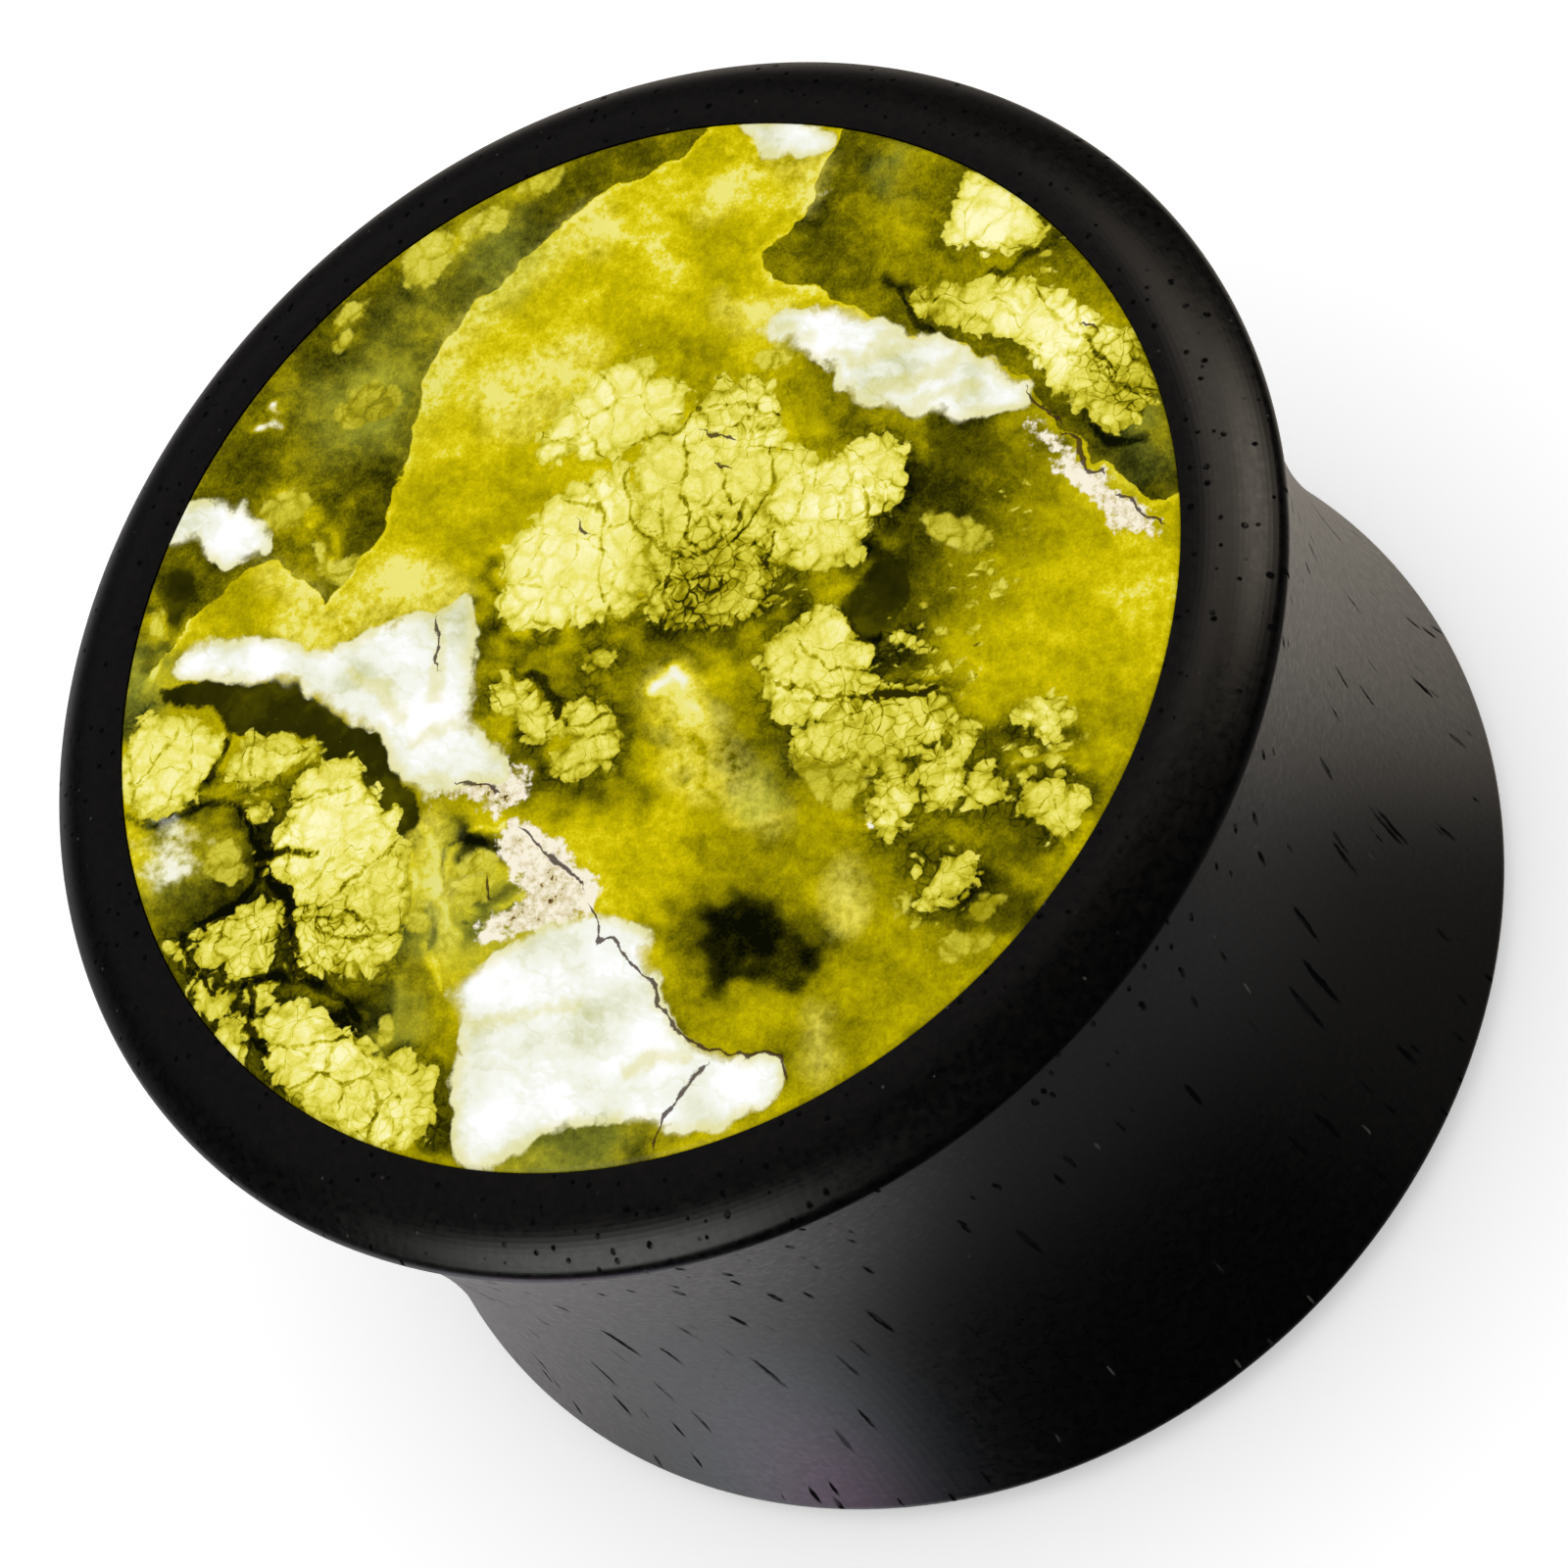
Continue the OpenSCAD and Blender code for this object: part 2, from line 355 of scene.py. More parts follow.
# Broken pale yellow grains.
GRAINS = [
    [-1.82, 3.97, -1.28, 4.6, -0.64, 5.1, 0.0, 5.18, 0.5, 4.7, 0.9, 4.4, 1.02, 3.65, 0.0, 3.46, -0.64, 3.26,
     -1.09, 3.46, -1.82, 3.58],
    [1.1, 3.6, 1.15, 4.2, 1.7, 4.35, 2.2, 4.2, 2.6, 3.9, 2.75, 3.4, 2.4, 3.1, 1.7, 3.2],
    [-0.96, 3.07, -0.38, 3.14, 0.0, 2.94, 0.2, 2.0, 0.3, 0.9, -0.1, 0.3, -0.64, 0.35, -1.6, 0.3,
     -2.37, 0.64, -2.46, 1.28, -2.37, 2.05, -1.92, 2.5],
    [2.3, 2.7, 2.9, 2.85, 3.4, 2.4, 3.8, 2.5, 4.3, 2.7, 4.7, 2.5, 4.8, 2.1, 4.8, 1.5, 4.6, 1.1, 4.0, 1.0,
     4.1, 0.4, 3.3, 0.35, 2.6, 0.6, 2.2, 1.2, 2.2, 1.7, 2.5, 2.2],
    [-0.1, 3.4, 0.5, 3.6, 1.1, 3.8, 1.3, 3.7, 2.2, 3.5, 2.6, 3.2, 2.6, 2.7, 2.4, 2.0, 2.3, 1.2, 2.6, 0.5,
     2.2, -0.2, 1.4, -0.3, 0.8, -0.1, 0.2, 0.1, 0.2, 0.9, 0.1, 2.0],
    [-9.4, -0.2, -9.2, 0.3, -8.6, 0.4, -7.5, -0.26, -7.36, -0.5, -7.7, -0.96, -8.06, -1.47, -8.4, -1.68,
     -8.96, -1.5, -9.4, -1.28],
    [-7.4, -0.9, -7.1, -0.55, -6.85, -0.35, -6.5, -0.6, -5.9, -0.8, -5.7, -1.1, -6.3, -1.2, -6.6, -1.4,
     -6.9, -1.45, -7.3, -1.25],
    [-7.0, -1.7, -6.6, -1.65, -6.5, -1.9, -6.7, -2.15, -7.0, -2.0],
    [-6.1, -1.5, -5.7, -1.2, -5.1, -1.15, -4.8, -1.7, -4.5, -2.2, -4.2, -2.7, -3.95, -3.2, -3.9, -4.1,
     -4.1, -4.9, -4.5, -5.3, -5.3, -5.2, -6.0, -5.0, -6.15, -4.3, -6.0, -3.6, -6.4, -3.2, -6.55, -2.7,
     -6.25, -2.1],
    [-7.8, -3.8, -7.5, -3.75, -7.1, -3.7, -6.6, -3.5, -6.3, -3.6, -6.2, -4.0, -6.5, -4.4, -6.5, -4.9,
     -7.1, -4.9, -7.3, -4.6, -7.9, -4.5],
    [-8.55, -3.9, -8.1, -3.95, -8.0, -4.4, -8.0, -4.6, -8.3, -4.2],
    [-8.0, -4.8, -7.6, -4.75, -7.6, -5.0, -7.2, -5.1, -7.2, -5.5, -7.6, -5.5, -7.9, -5.2],
    [-6.9, -5.0, -6.4, -5.0, -6.25, -5.3, -6.4, -5.5, -6.9, -5.5],
    [-6.75, -5.7, -6.3, -5.5, -5.9, -5.5, -5.5, -5.8, -5.2, -6.1, -4.9, -6.3, -4.6, -6.5, -4.3, -6.9,
     -3.9, -6.8, -3.6, -7.1, -3.4, -7.5, -3.4, -8.1, -3.7, -8.5, -4.4, -8.5, -5.5, -7.7, -6.2, -7.0,
     -6.5, -6.6, -6.3, -6.2, -6.7, -6.0],
    [-7.5, -5.6, -6.9, -5.6, -6.8, -6.2, -7.0, -6.5, -7.4, -6.1],
    [-2.6, -0.4, -2.2, -0.3, -1.7, -0.9, -1.3, -1.2, -1.3, -1.6, -1.7, -1.8, -2.1, -1.3, -2.5, -0.8],
    [-1.2, -1.0, -0.6, -1.1, -0.35, -1.6, -0.2, -2.0, -0.4, -2.4, -1.0, -2.5, -1.5, -2.4, -1.5, -2.1,
     -1.1, -1.9, -1.4, -1.5],
    [-0.9, -0.3, -0.6, -0.15, -0.3, -0.4, -0.5, -0.6, -0.8, -0.5],
    [2.15, -1.0, 2.3, -0.75, 2.75, -0.6, 3.1, -0.3, 3.5, -0.25, 3.7, -0.6, 4.0, -1.0, 4.3, -1.2, 4.35, -1.5,
     4.1, -1.7, 4.6, -2.2, 4.2, -2.3, 3.5, -2.3, 2.9, -2.4, 2.5, -2.2, 2.4, -1.8],
    [2.7, -2.6, 3.5, -2.2, 4.4, -2.0, 5.1, -2.1, 5.5, -2.6, 5.5, -3.0, 5.0, -3.2, 4.4, -3.5, 3.7, -3.3,
     2.9, -3.0],
    [4.1, -3.9, 4.4, -3.5, 4.6, -3.3, 4.9, -3.6, 4.9, -4.2, 4.7, -4.7, 4.3, -4.7, 4.1, -4.3],
    [5.0, -3.3, 5.3, -3.2, 5.7, -3.5, 5.8, -3.8, 5.6, -4.3, 5.4, -4.45, 5.0, -4.1],
    [5.5, -2.9, 5.8, -2.8, 6.0, -3.2, 5.9, -3.5, 5.6, -3.4],
    [5.7, -4.3, 5.8, -3.9, 6.1, -3.7, 6.3, -3.9, 6.4, -4.2, 6.4, -4.45, 6.1, -4.65, 5.8, -4.5],
    [6.6, -4.3, 6.9, -4.15, 7.2, -4.3, 7.6, -4.35, 7.85, -4.7, 7.8, -5.0, 7.5, -5.3, 7.1, -5.2, 7.0, -4.9,
     6.7, -4.7],
    [6.5, -2.8, 6.7, -2.75, 7.0, -2.85, 7.2, -2.7, 7.5, -2.8, 7.65, -3.2, 7.3, -3.45, 7.0, -3.45,
     6.7, -3.2],
    [4.95, -5.95, 5.15, -5.5, 5.4, -5.2, 5.8, -5.25, 5.95, -5.6, 5.8, -5.9, 5.3, -6.1],
    [4.75, -5.2, 5.0, -5.05, 5.15, -5.2, 4.95, -5.45],
    [4.5, -1.1, 4.85, -1.1, 4.9, -1.4, 4.6, -1.5],
    [5.5, 6.3, 5.65, 6.6, 5.7, 6.9, 5.9, 7.2, 6.5, 7.1, 7.0, 6.5, 7.5, 5.9, 7.2, 5.5, 6.7, 5.5, 6.4, 5.6,
     5.9, 5.8, 5.5, 6.0],
    [4.8, 5.0, 5.3, 5.2, 5.8, 5.1, 6.7, 5.1, 7.2, 4.8, 7.7, 4.4, 8.0, 4.0, 8.6, 3.6, 9.0, 3.0, 9.2, 2.2,
     8.95, 1.9, 8.4, 1.6, 8.1, 1.9, 7.9, 2.4, 7.5, 2.5, 7.1, 3.3, 6.8, 3.8, 6.2, 4.1, 5.6, 4.5, 5.0, 4.7],
]
# Hollows beside the white and between the grains, filled with painted shade.
GAPS = [
    [-8.9, 0.75, -8.0, 0.8, -7.0, 0.65, -6.0, 0.25, -5.5, -0.35, -5.0, -0.6, -4.6, -0.95, -4.3, -1.6,
     -4.0, -2.1, -3.7, -2.6, -4.0, -2.95, -4.3, -2.75, -4.6, -2.1, -5.0, -1.35, -5.6, -1.1, -5.8, -0.7,
     -6.85, -0.45, -7.4, -0.3, -7.7, 0.25, -8.45, 0.4],
    [3.8, -0.2, 4.2, 0.3, 4.6, 0.1, 4.9, -0.3, 4.6, -0.9, 4.0, -1.1, 3.7, -0.6],
    [-8.7, 3.1, -8.2, 3.0, -8.2, 2.6, -8.4, 2.2, -8.5, 1.9, -8.7, 2.3],
]
# Beige veins.
VEINS = [
    [-3.7, -2.2, -2.9, -1.9, -2.2, -1.9, -1.9, -2.4, -1.9, -2.8, -2.3, -2.85, -2.7, -2.6, -3.2, -2.4],
    [6.95, 2.4, 7.2, 2.2, 7.7, 1.5, 8.1, 1.1, 8.5, 0.6, 8.9, 0.2, 9.15, -0.1, 9.2, -0.4, 8.9, -0.2,
     8.4, 0.0, 8.1, 0.5, 7.8, 1.0, 7.4, 1.5, 7.1, 1.9],
    [-2.3, -3.0, -1.9, -3.1, -1.5, -3.5, -1.1, -3.9, -0.7, -4.4, -0.6, -4.9, -1.2, -5.1, -2.0, -5.1,
     -2.7, -5.0, -2.5, -4.6, -2.0, -4.5, -2.0, -4.0, -2.3, -3.4],
]
# Pale streaks in the golden ground, with soft edges.
PALE = [
    [-3.95, -2.6, -3.5, -2.7, -3.2, -3.2, -3.3, -4.2, -3.0, -4.9, -3.3, -5.2, -3.7, -4.5, -3.7, -3.5],
    [-7.0, 2.9, -6.3, 2.4, -5.8, 1.9, -5.3, 1.3, -5.6, 0.8, -6.4, 0.9, -6.6, 1.3, -6.4, 1.9, -6.9, 2.5],
    [-1.1, 8.4, -0.6, 8.4, -0.5, 7.8, -0.6, 7.2, -1.0, 7.4, -1.1, 7.8],
    [-3.9, 5.8, -3.4, 6.5, -3.1, 6.9, -2.4, 7.3, -2.0, 7.7, -1.3, 8.1, -0.8, 8.4, -0.5, 8.3, -0.7, 7.8,
     -1.2, 7.5, -1.9, 7.2, -2.5, 6.8, -2.9, 6.4, -3.2, 5.9, -3.5, 5.4],
    [2.0, 8.4, 2.9, 8.2, 3.6, 8.2, 3.3, 7.8, 3.25, 7.4, 3.0, 7.1, 2.9, 7.5, 2.9, 7.9, 2.4, 8.1],
    [1.3, 6.0, 1.9, 5.7, 2.6, 5.6, 2.9, 5.3, 2.2, 5.1, 1.7, 5.4],
    [0.3, -0.9, 0.9, -0.8, 1.3, -1.6, 1.9, -2.6, 2.2, -3.2, 2.8, -4.2, 2.4, -4.3, 1.6, -3.4, 0.9, -3.2,
     0.6, -2.5, 0.5, -1.8, 0.2, -1.2],
    [-4.6, 2.3, -3.9, 2.2, -3.0, 1.5, -3.0, 1.2, -4.2, 1.2, -5.2, 0.9, -5.8, 1.4, -5.3, 1.8],
    [-2.9, 5.6, -1.8, 5.6, -0.9, 5.9, -0.5, 5.3, -1.3, 4.7, -1.9, 4.1, -2.6, 4.3, -3.1, 4.9],
    [1.0, 7.5, 1.5, 8.2, 2.0, 8.2, 1.7, 7.6],
    [3.5, -4.9, 3.9, -5.0, 4.1, -5.8, 3.7, -6.4, 3.4, -5.8],
    [3.0, -7.6, 3.3, -7.3, 3.5, -8.4, 3.2, -8.8],
]
# Dark hair cracks, as open lines like the seams, clefts, ribbons and folds below.
FISSURES = [
    [-3.0, -2.15, -2.7, -2.3, -2.45, -2.4],
    [-2.58, -4.08, -2.52, -4.2],
    [7.0, 2.75, 7.2, 2.45, 7.45, 2.2],
    [7.6, 1.85, 7.85, 1.5, 8.05, 1.1],
    [8.5, 0.5, 8.8, 0.2, 9.1, -0.05],
    [-3.6, 1.0, -3.62, 0.5, -3.55, 0.2],
    [1.32, 3.38, 1.42, 3.28, 1.6, 3.18, 1.72, 3.16],
    [1.52, 2.79, 1.64, 2.74],
    [-1.02, 2.19, -0.9, 2.06],
    [8.0, 3.79, 8.1, 3.72],
    [-1.9, -3.3, -1.6, -3.7, -1.2, -4.0, -0.9, -4.4],
    [-0.65, -5.0, -0.5, -5.4, -0.2, -5.8, 0.2, -6.1, 0.45, -6.5, 0.55, -6.9, 0.8, -7.3, 1.1, -7.6,
     1.9, -7.95, 2.7, -8.1, 2.75, -8.4],
    [1.3, -8.1, 0.9, -8.4, 0.6, -8.8, 0.45, -9.2],
]
# Olive seams between the grains.
SEAMS = [
    [0.0, 3.45, 0.9, 3.6, 1.1, 3.85, 1.35, 3.95, 1.9, 3.75, 2.5, 3.5],
    [-0.2, 3.1, -0.1, 2.4, 0.1, 1.8, 0.4, 1.5, 0.65, 1.2, 0.6, 0.6, 0.5, 0.0],
    [0.45, 2.4, 0.4, 1.9, 0.65, 1.35, 0.95, 1.15],
    [0.85, 3.3, 0.85, 2.7, 0.95, 1.9, 1.0, 1.4, 1.3, 1.1, 1.8, 1.5, 2.0, 1.9],
    [1.6, 2.65, 1.65, 2.0],
    [2.45, 2.8, 2.45, 2.35, 2.4, 1.95, 2.1, 1.5, 1.7, 1.2],
    [3.4, 2.5, 3.2, 2.1, 3.1, 1.9],
    [4.1, 1.65, 4.2, 1.3, 4.1, 1.1, 4.4, 1.05],
    [2.45, 1.2, 2.35, 0.8, 2.5, 0.4],
    [1.05, 0.4, 1.5, 0.4, 1.55, 0.65, 1.1, 0.7],
    [-1.2, 2.7, -0.7, 2.5, -0.55, 1.9, -0.6, 1.2, -0.55, 0.7],
    [-9.0, -0.75, -8.65, -0.45, -8.45, -0.1],
    [-6.1, -1.85, -5.75, -1.8, -5.2, -1.85],
    [-4.3, -3.0, -4.7, -3.3, -5.1, -3.6, -5.5, -3.85, -5.8, -3.95],
    [-5.2, -3.0, -5.5, -3.2, -5.8, -3.45],
    [-6.0, -4.0, -5.5, -4.1, -5.0, -4.1, -4.5, -4.5],
    [-5.6, -4.3, -5.0, -4.6, -4.3, -4.6],
    [-7.4, -3.8, -7.5, -4.2],
    [-6.9, -0.5, -6.95, -1.1],
    [-6.3, -6.3, -5.75, -6.35, -5.1, -6.3],
    [-5.9, -7.0, -5.5, -6.9, -5.1, -7.1, -4.7, -7.1, -4.4, -7.25, -4.45, -7.7, -4.55, -8.1],
    [-5.0, -7.1, -5.1, -7.5],
    [-1.4, -1.3, -0.9, -1.55, -0.35, -1.5],
    [7.2, 4.6, 7.4, 4.1, 8.0, 3.5, 8.5, 2.8],
    [8.1, 2.9, 8.4, 2.6, 8.9, 2.3],
    [3.0, -0.9, 3.4, -1.4, 4.0, -1.6],
    [2.6, -1.5, 3.3, -2.0, 4.2, -2.1],
]
# Deep clefts between the grains, darkened with painted shade.
CLEFTS = [
    [-3.3, -3.2, -2.9, -3.25, -2.55, -3.35],
    [-3.35, -3.3, -3.4, -3.8, -3.35, -4.2],
    [-3.6, -4.2, -3.5, -4.6, -3.55, -5.0],
    [-2.9, -4.75, -2.4, -4.75, -1.95, -4.65],
    [-9.3, -1.5, -8.6, -1.75, -8.0, -1.65, -7.5, -1.6, -7.1, -1.7, -6.9, -2.3, -6.7, -2.8, -6.4, -2.75,
     -5.7, -2.9],
    [-6.7, -2.9, -6.85, -3.4, -7.2, -3.6, -7.8, -3.65],
    [-6.5, -3.1, -6.25, -3.6, -6.1, -4.1, -6.0, -4.75, -5.75, -5.1, -5.4, -5.45, -5.1, -5.65, -4.7, -6.0],
    [-8.0, -3.85, -8.0, -4.5, -7.7, -4.8, -7.5, -5.0, -7.0, -5.05, -6.6, -4.95, -6.1, -5.1],
    [-6.85, -5.1, -6.8, -5.8, -6.4, -6.35],
    [-7.4, -0.3, -7.5, -0.7, -7.85, -1.25],
    [-2.1, -0.3, -1.6, -0.6, -1.3, -1.0, -1.35, -1.3],
    [4.7, 5.25, 4.8, 5.0, 5.05, 4.55, 5.3, 4.3],
    [6.3, 5.2, 6.7, 5.2, 6.95, 5.4, 7.4, 5.45],
    [8.0, 1.9, 8.4, 1.5, 8.9, 1.5],
    [3.75, -0.5, 3.95, -0.9, 4.3, -1.1],
    [4.3, -2.1, 4.8, -2.25, 5.2, -2.2],
]
# Lumps sunk under the clear ground, which show through it pale and soft.
SUNKEN = [
    [-6.0, 3.0, -5.8, 2.9, -5.55, 2.5, -5.3, 2.5, -5.15, 2.6, -5.05, 2.45, -5.3, 2.1, -5.6, 2.1, -5.8, 2.4],
    [-8.95, 2.4, -8.8, 2.3, -8.6, 1.8, -8.85, 1.75, -9.0, 2.0],
    [4.6, -5.9, 4.75, -5.7, 4.85, -5.9, 4.65, -6.05],
    [4.7, -6.25, 4.9, -6.05, 5.1, -6.3, 4.85, -6.45],
    [5.7, -6.25, 6.0, -6.0, 6.4, -6.1, 6.2, -6.35, 5.9, -6.4],
    [-4.5, 8.1, -4.1, 8.5, -3.8, 8.6, -3.5, 8.4, -3.5, 8.1, -3.6, 7.7, -4.0, 7.4, -4.35, 7.6],
    [-3.1, 8.5, -2.9, 8.75, -2.4, 8.65, -2.3, 8.4, -2.7, 8.2, -3.0, 8.2],
    [-3.4, 8.5, -3.2, 8.6, -3.15, 8.2, -3.35, 8.0],
    [-5.8, 7.1, -5.3, 7.6, -5.1, 7.5, -5.2, 7.2, -5.6, 7.0],
    [-2.4, 8.95, -1.8, 9.2, -1.3, 9.25, -1.5, 8.95, -2.1, 8.8],
    [-5.7, 6.9, -5.3, 6.95, -5.4, 6.65, -5.65, 6.7],
    [-5.6, 5.3, -5.4, 5.8, -4.9, 5.9, -4.4, 5.6, -4.5, 5.1, -5.0, 5.0, -5.4, 5.1],
    [-7.0, 3.9, -6.5, 4.1, -6.0, 3.9, -6.1, 3.5, -6.6, 3.3, -6.9, 3.4],
    [-3.35, -3.8, -3.1, -3.6, -2.7, -3.4, -2.35, -3.45, -2.3, -3.9, -2.6, -4.3, -3.1, -4.4, -3.35, -4.2],
    [-3.9, -4.2, -3.7, -4.1, -3.55, -4.5, -3.65, -4.85, -3.9, -4.8, -4.0, -4.5],
    [-4.45, -6.2, -4.2, -6.1, -4.05, -6.35, -4.2, -6.6, -4.45, -6.5],
    [-7.7, -2.3, -7.3, -2.25, -7.0, -2.6, -7.05, -3.1, -7.5, -3.15, -7.75, -2.8],
    [2.9, -2.5, 3.6, -2.6, 4.2, -3.2, 4.0, -3.9, 3.6, -4.1, 3.1, -3.5, 2.8, -3.0],
    [5.3, -6.9, 5.5, -6.6, 5.9, -6.5, 6.2, -6.7, 6.2, -7.0, 5.7, -7.1],
    [5.0, 0.8, 5.3, 1.0, 5.9, 0.7, 6.3, 0.3, 6.0, 0.1, 5.4, 0.3],
    [2.2, 4.8, 2.7, 4.8, 3.0, 4.5, 2.6, 4.3, 2.1, 4.5],
]
# Thin pale edges of sheets that stand on end in the ground.
RIBBONS = [
    [-6.0, 3.4, -5.8, 2.8, -5.6, 2.3, -5.25, 2.2],
    [-5.7, 3.2, -5.45, 2.7, -5.35, 2.4],
    [-8.95, 2.8, -8.8, 2.2, -8.65, 1.8],
    [-8.25, 2.0, -8.7, 1.5, -9.0, 0.9],
    [-3.85, -2.6, -3.6, -3.0, -3.45, -3.6, -3.45, -4.1, -3.2, -4.6, -3.0, -5.0],
    [-2.4, -3.1, -2.9, -3.1, -3.2, -3.4, -3.4, -3.7],
    [-3.7, -5.0, -3.4, -5.3, -3.3, -5.8],
    [-1.9, -4.5, -2.3, -4.55, -2.9, -4.4],
    [-3.95, -3.3, -3.8, -3.8, -3.85, -4.2],
    [6.7, -3.7, 7.1, -3.85, 7.5, -3.9],
    [7.2, -4.05, 7.6, -4.05, 7.8, -4.1],
    [4.4, -1.85, 4.9, -1.8, 5.3, -1.95],
    [4.9, -2.45, 5.3, -2.5, 5.6, -2.8],
]
# Yellowish folds across the white.
FOLDS = [
    [2.3, 5.1, 2.7, 5.0, 3.1, 4.75],
    [5.0, 3.0, 5.5, 3.15, 6.1, 3.1],
    [3.5, 4.35, 3.85, 4.15, 4.35, 4.15, 4.9, 4.2],
    [4.7, 4.7, 4.6, 4.5, 4.1, 4.2],
    [4.0, 3.5, 4.5, 3.5, 5.0, 3.45, 5.45, 3.65, 5.8, 3.8],
    [-3.8, -2.0, -3.2, -2.1, -2.7, -2.4, -2.2, -2.75],
    [-2.9, -2.1, -2.5, -2.3, -2.1, -2.6],
    [-5.2, 0.3, -4.6, -0.1, -4.2, -0.7],
    [-3.6, 0.9, -3.5, 0.2, -3.6, -0.4],
    [-3.9, -1.2, -3.3, -1.0, -2.9, -1.1],
    [-3.0, -6.5, -2.2, -6.6, -1.6, -6.5, -1.0, -6.5],
    [0.0, -7.9, 0.5, -7.7, 1.0, -7.8],
]

# Clouds laid one over the other: x, y and radius in mm, and the value that each brings.
# Lightness of the dark ground in the windows.
DEEP_CLOUDS = [
    (-5.6, 7.0, 1.6, 0.34), (-3.0, 8.2, 1.2, 0.40), (-6.3, 5.4, 1.0, 0.42), (-6.0, 4.5, 0.8, 0.58),
    (-7.2, 4.8, 0.4, 0.22), (-5.5, 6.3, 0.6, 0.20), (-4.4, 6.6, 0.6, 0.40), (-4.0, 7.9, 0.55, 0.66),
    (-3.3, 8.4, 0.35, 0.64), (-2.5, 8.6, 0.30, 0.64), (-1.9, 9.0, 0.40, 0.62), (-3.2, 7.6, 0.35, 0.28),
    (-4.8, 7.3, 0.45, 0.25), (-1.8, 8.2, 0.35, 0.28), (-1.1, 8.7, 0.30, 0.30), (-2.6, 7.9, 0.30, 0.52),
    (-5.4, 7.3, 0.22, 0.55), (-4.9, 5.5, 0.60, 0.68), (-4.9, 4.2, 0.55, 0.22), (-5.1, 3.4, 0.55, 0.22),
    (-4.7, 2.9, 0.3, 0.26), (-6.4, 3.7, 0.40, 0.70), (-5.6, 3.3, 0.25, 0.56), (-6.1, 2.8, 0.30, 0.38),
    (-5.5, 2.6, 0.20, 0.66), (-5.5, 2.0, 0.25, 0.36), (-8.8, 3.0, 0.5, 0.30), (-8.4, 2.5, 0.35, 0.08),
    (-8.9, 1.9, 0.22, 0.70), (-9.1, 1.1, 0.4, 0.5), (-8.7, 1.2, 0.22, 0.14), (0.5, 9.1, 0.5, 0.36),
    (4.0, 8.3, 0.5, 0.34), (3.4, 7.4, 0.30, 0.12), (3.6, 6.6, 0.6, 0.26), (3.5, 5.9, 0.5, 0.26),
    (2.5, 6.6, 0.35, 0.46), (4.6, 7.1, 0.5, 0.54), (4.5, 6.2, 0.6, 0.52), (5.3, 7.0, 0.5, 0.50),
    (4.4, 5.4, 0.4, 0.52), (4.3, 7.8, 0.3, 0.22), (4.75, 5.2, 0.14, 0.10), (6.3, 5.4, 0.4, 0.62),
    (7.2, 5.1, 0.4, 0.44), (7.7, 5.3, 0.4, 0.34), (8.3, 4.3, 0.4, 0.44), (5.1, 4.5, 0.25, 0.36),
    (6.0, 3.9, 0.25, 0.46), (6.7, 3.3, 0.25, 0.44), (7.4, 2.6, 0.35, 0.42), (7.9, 2.0, 0.3, 0.28),
    (8.3, 1.5, 0.3, 0.18), (8.8, 0.9, 0.3, 0.10), (9.2, 0.4, 0.3, 0.25),
]
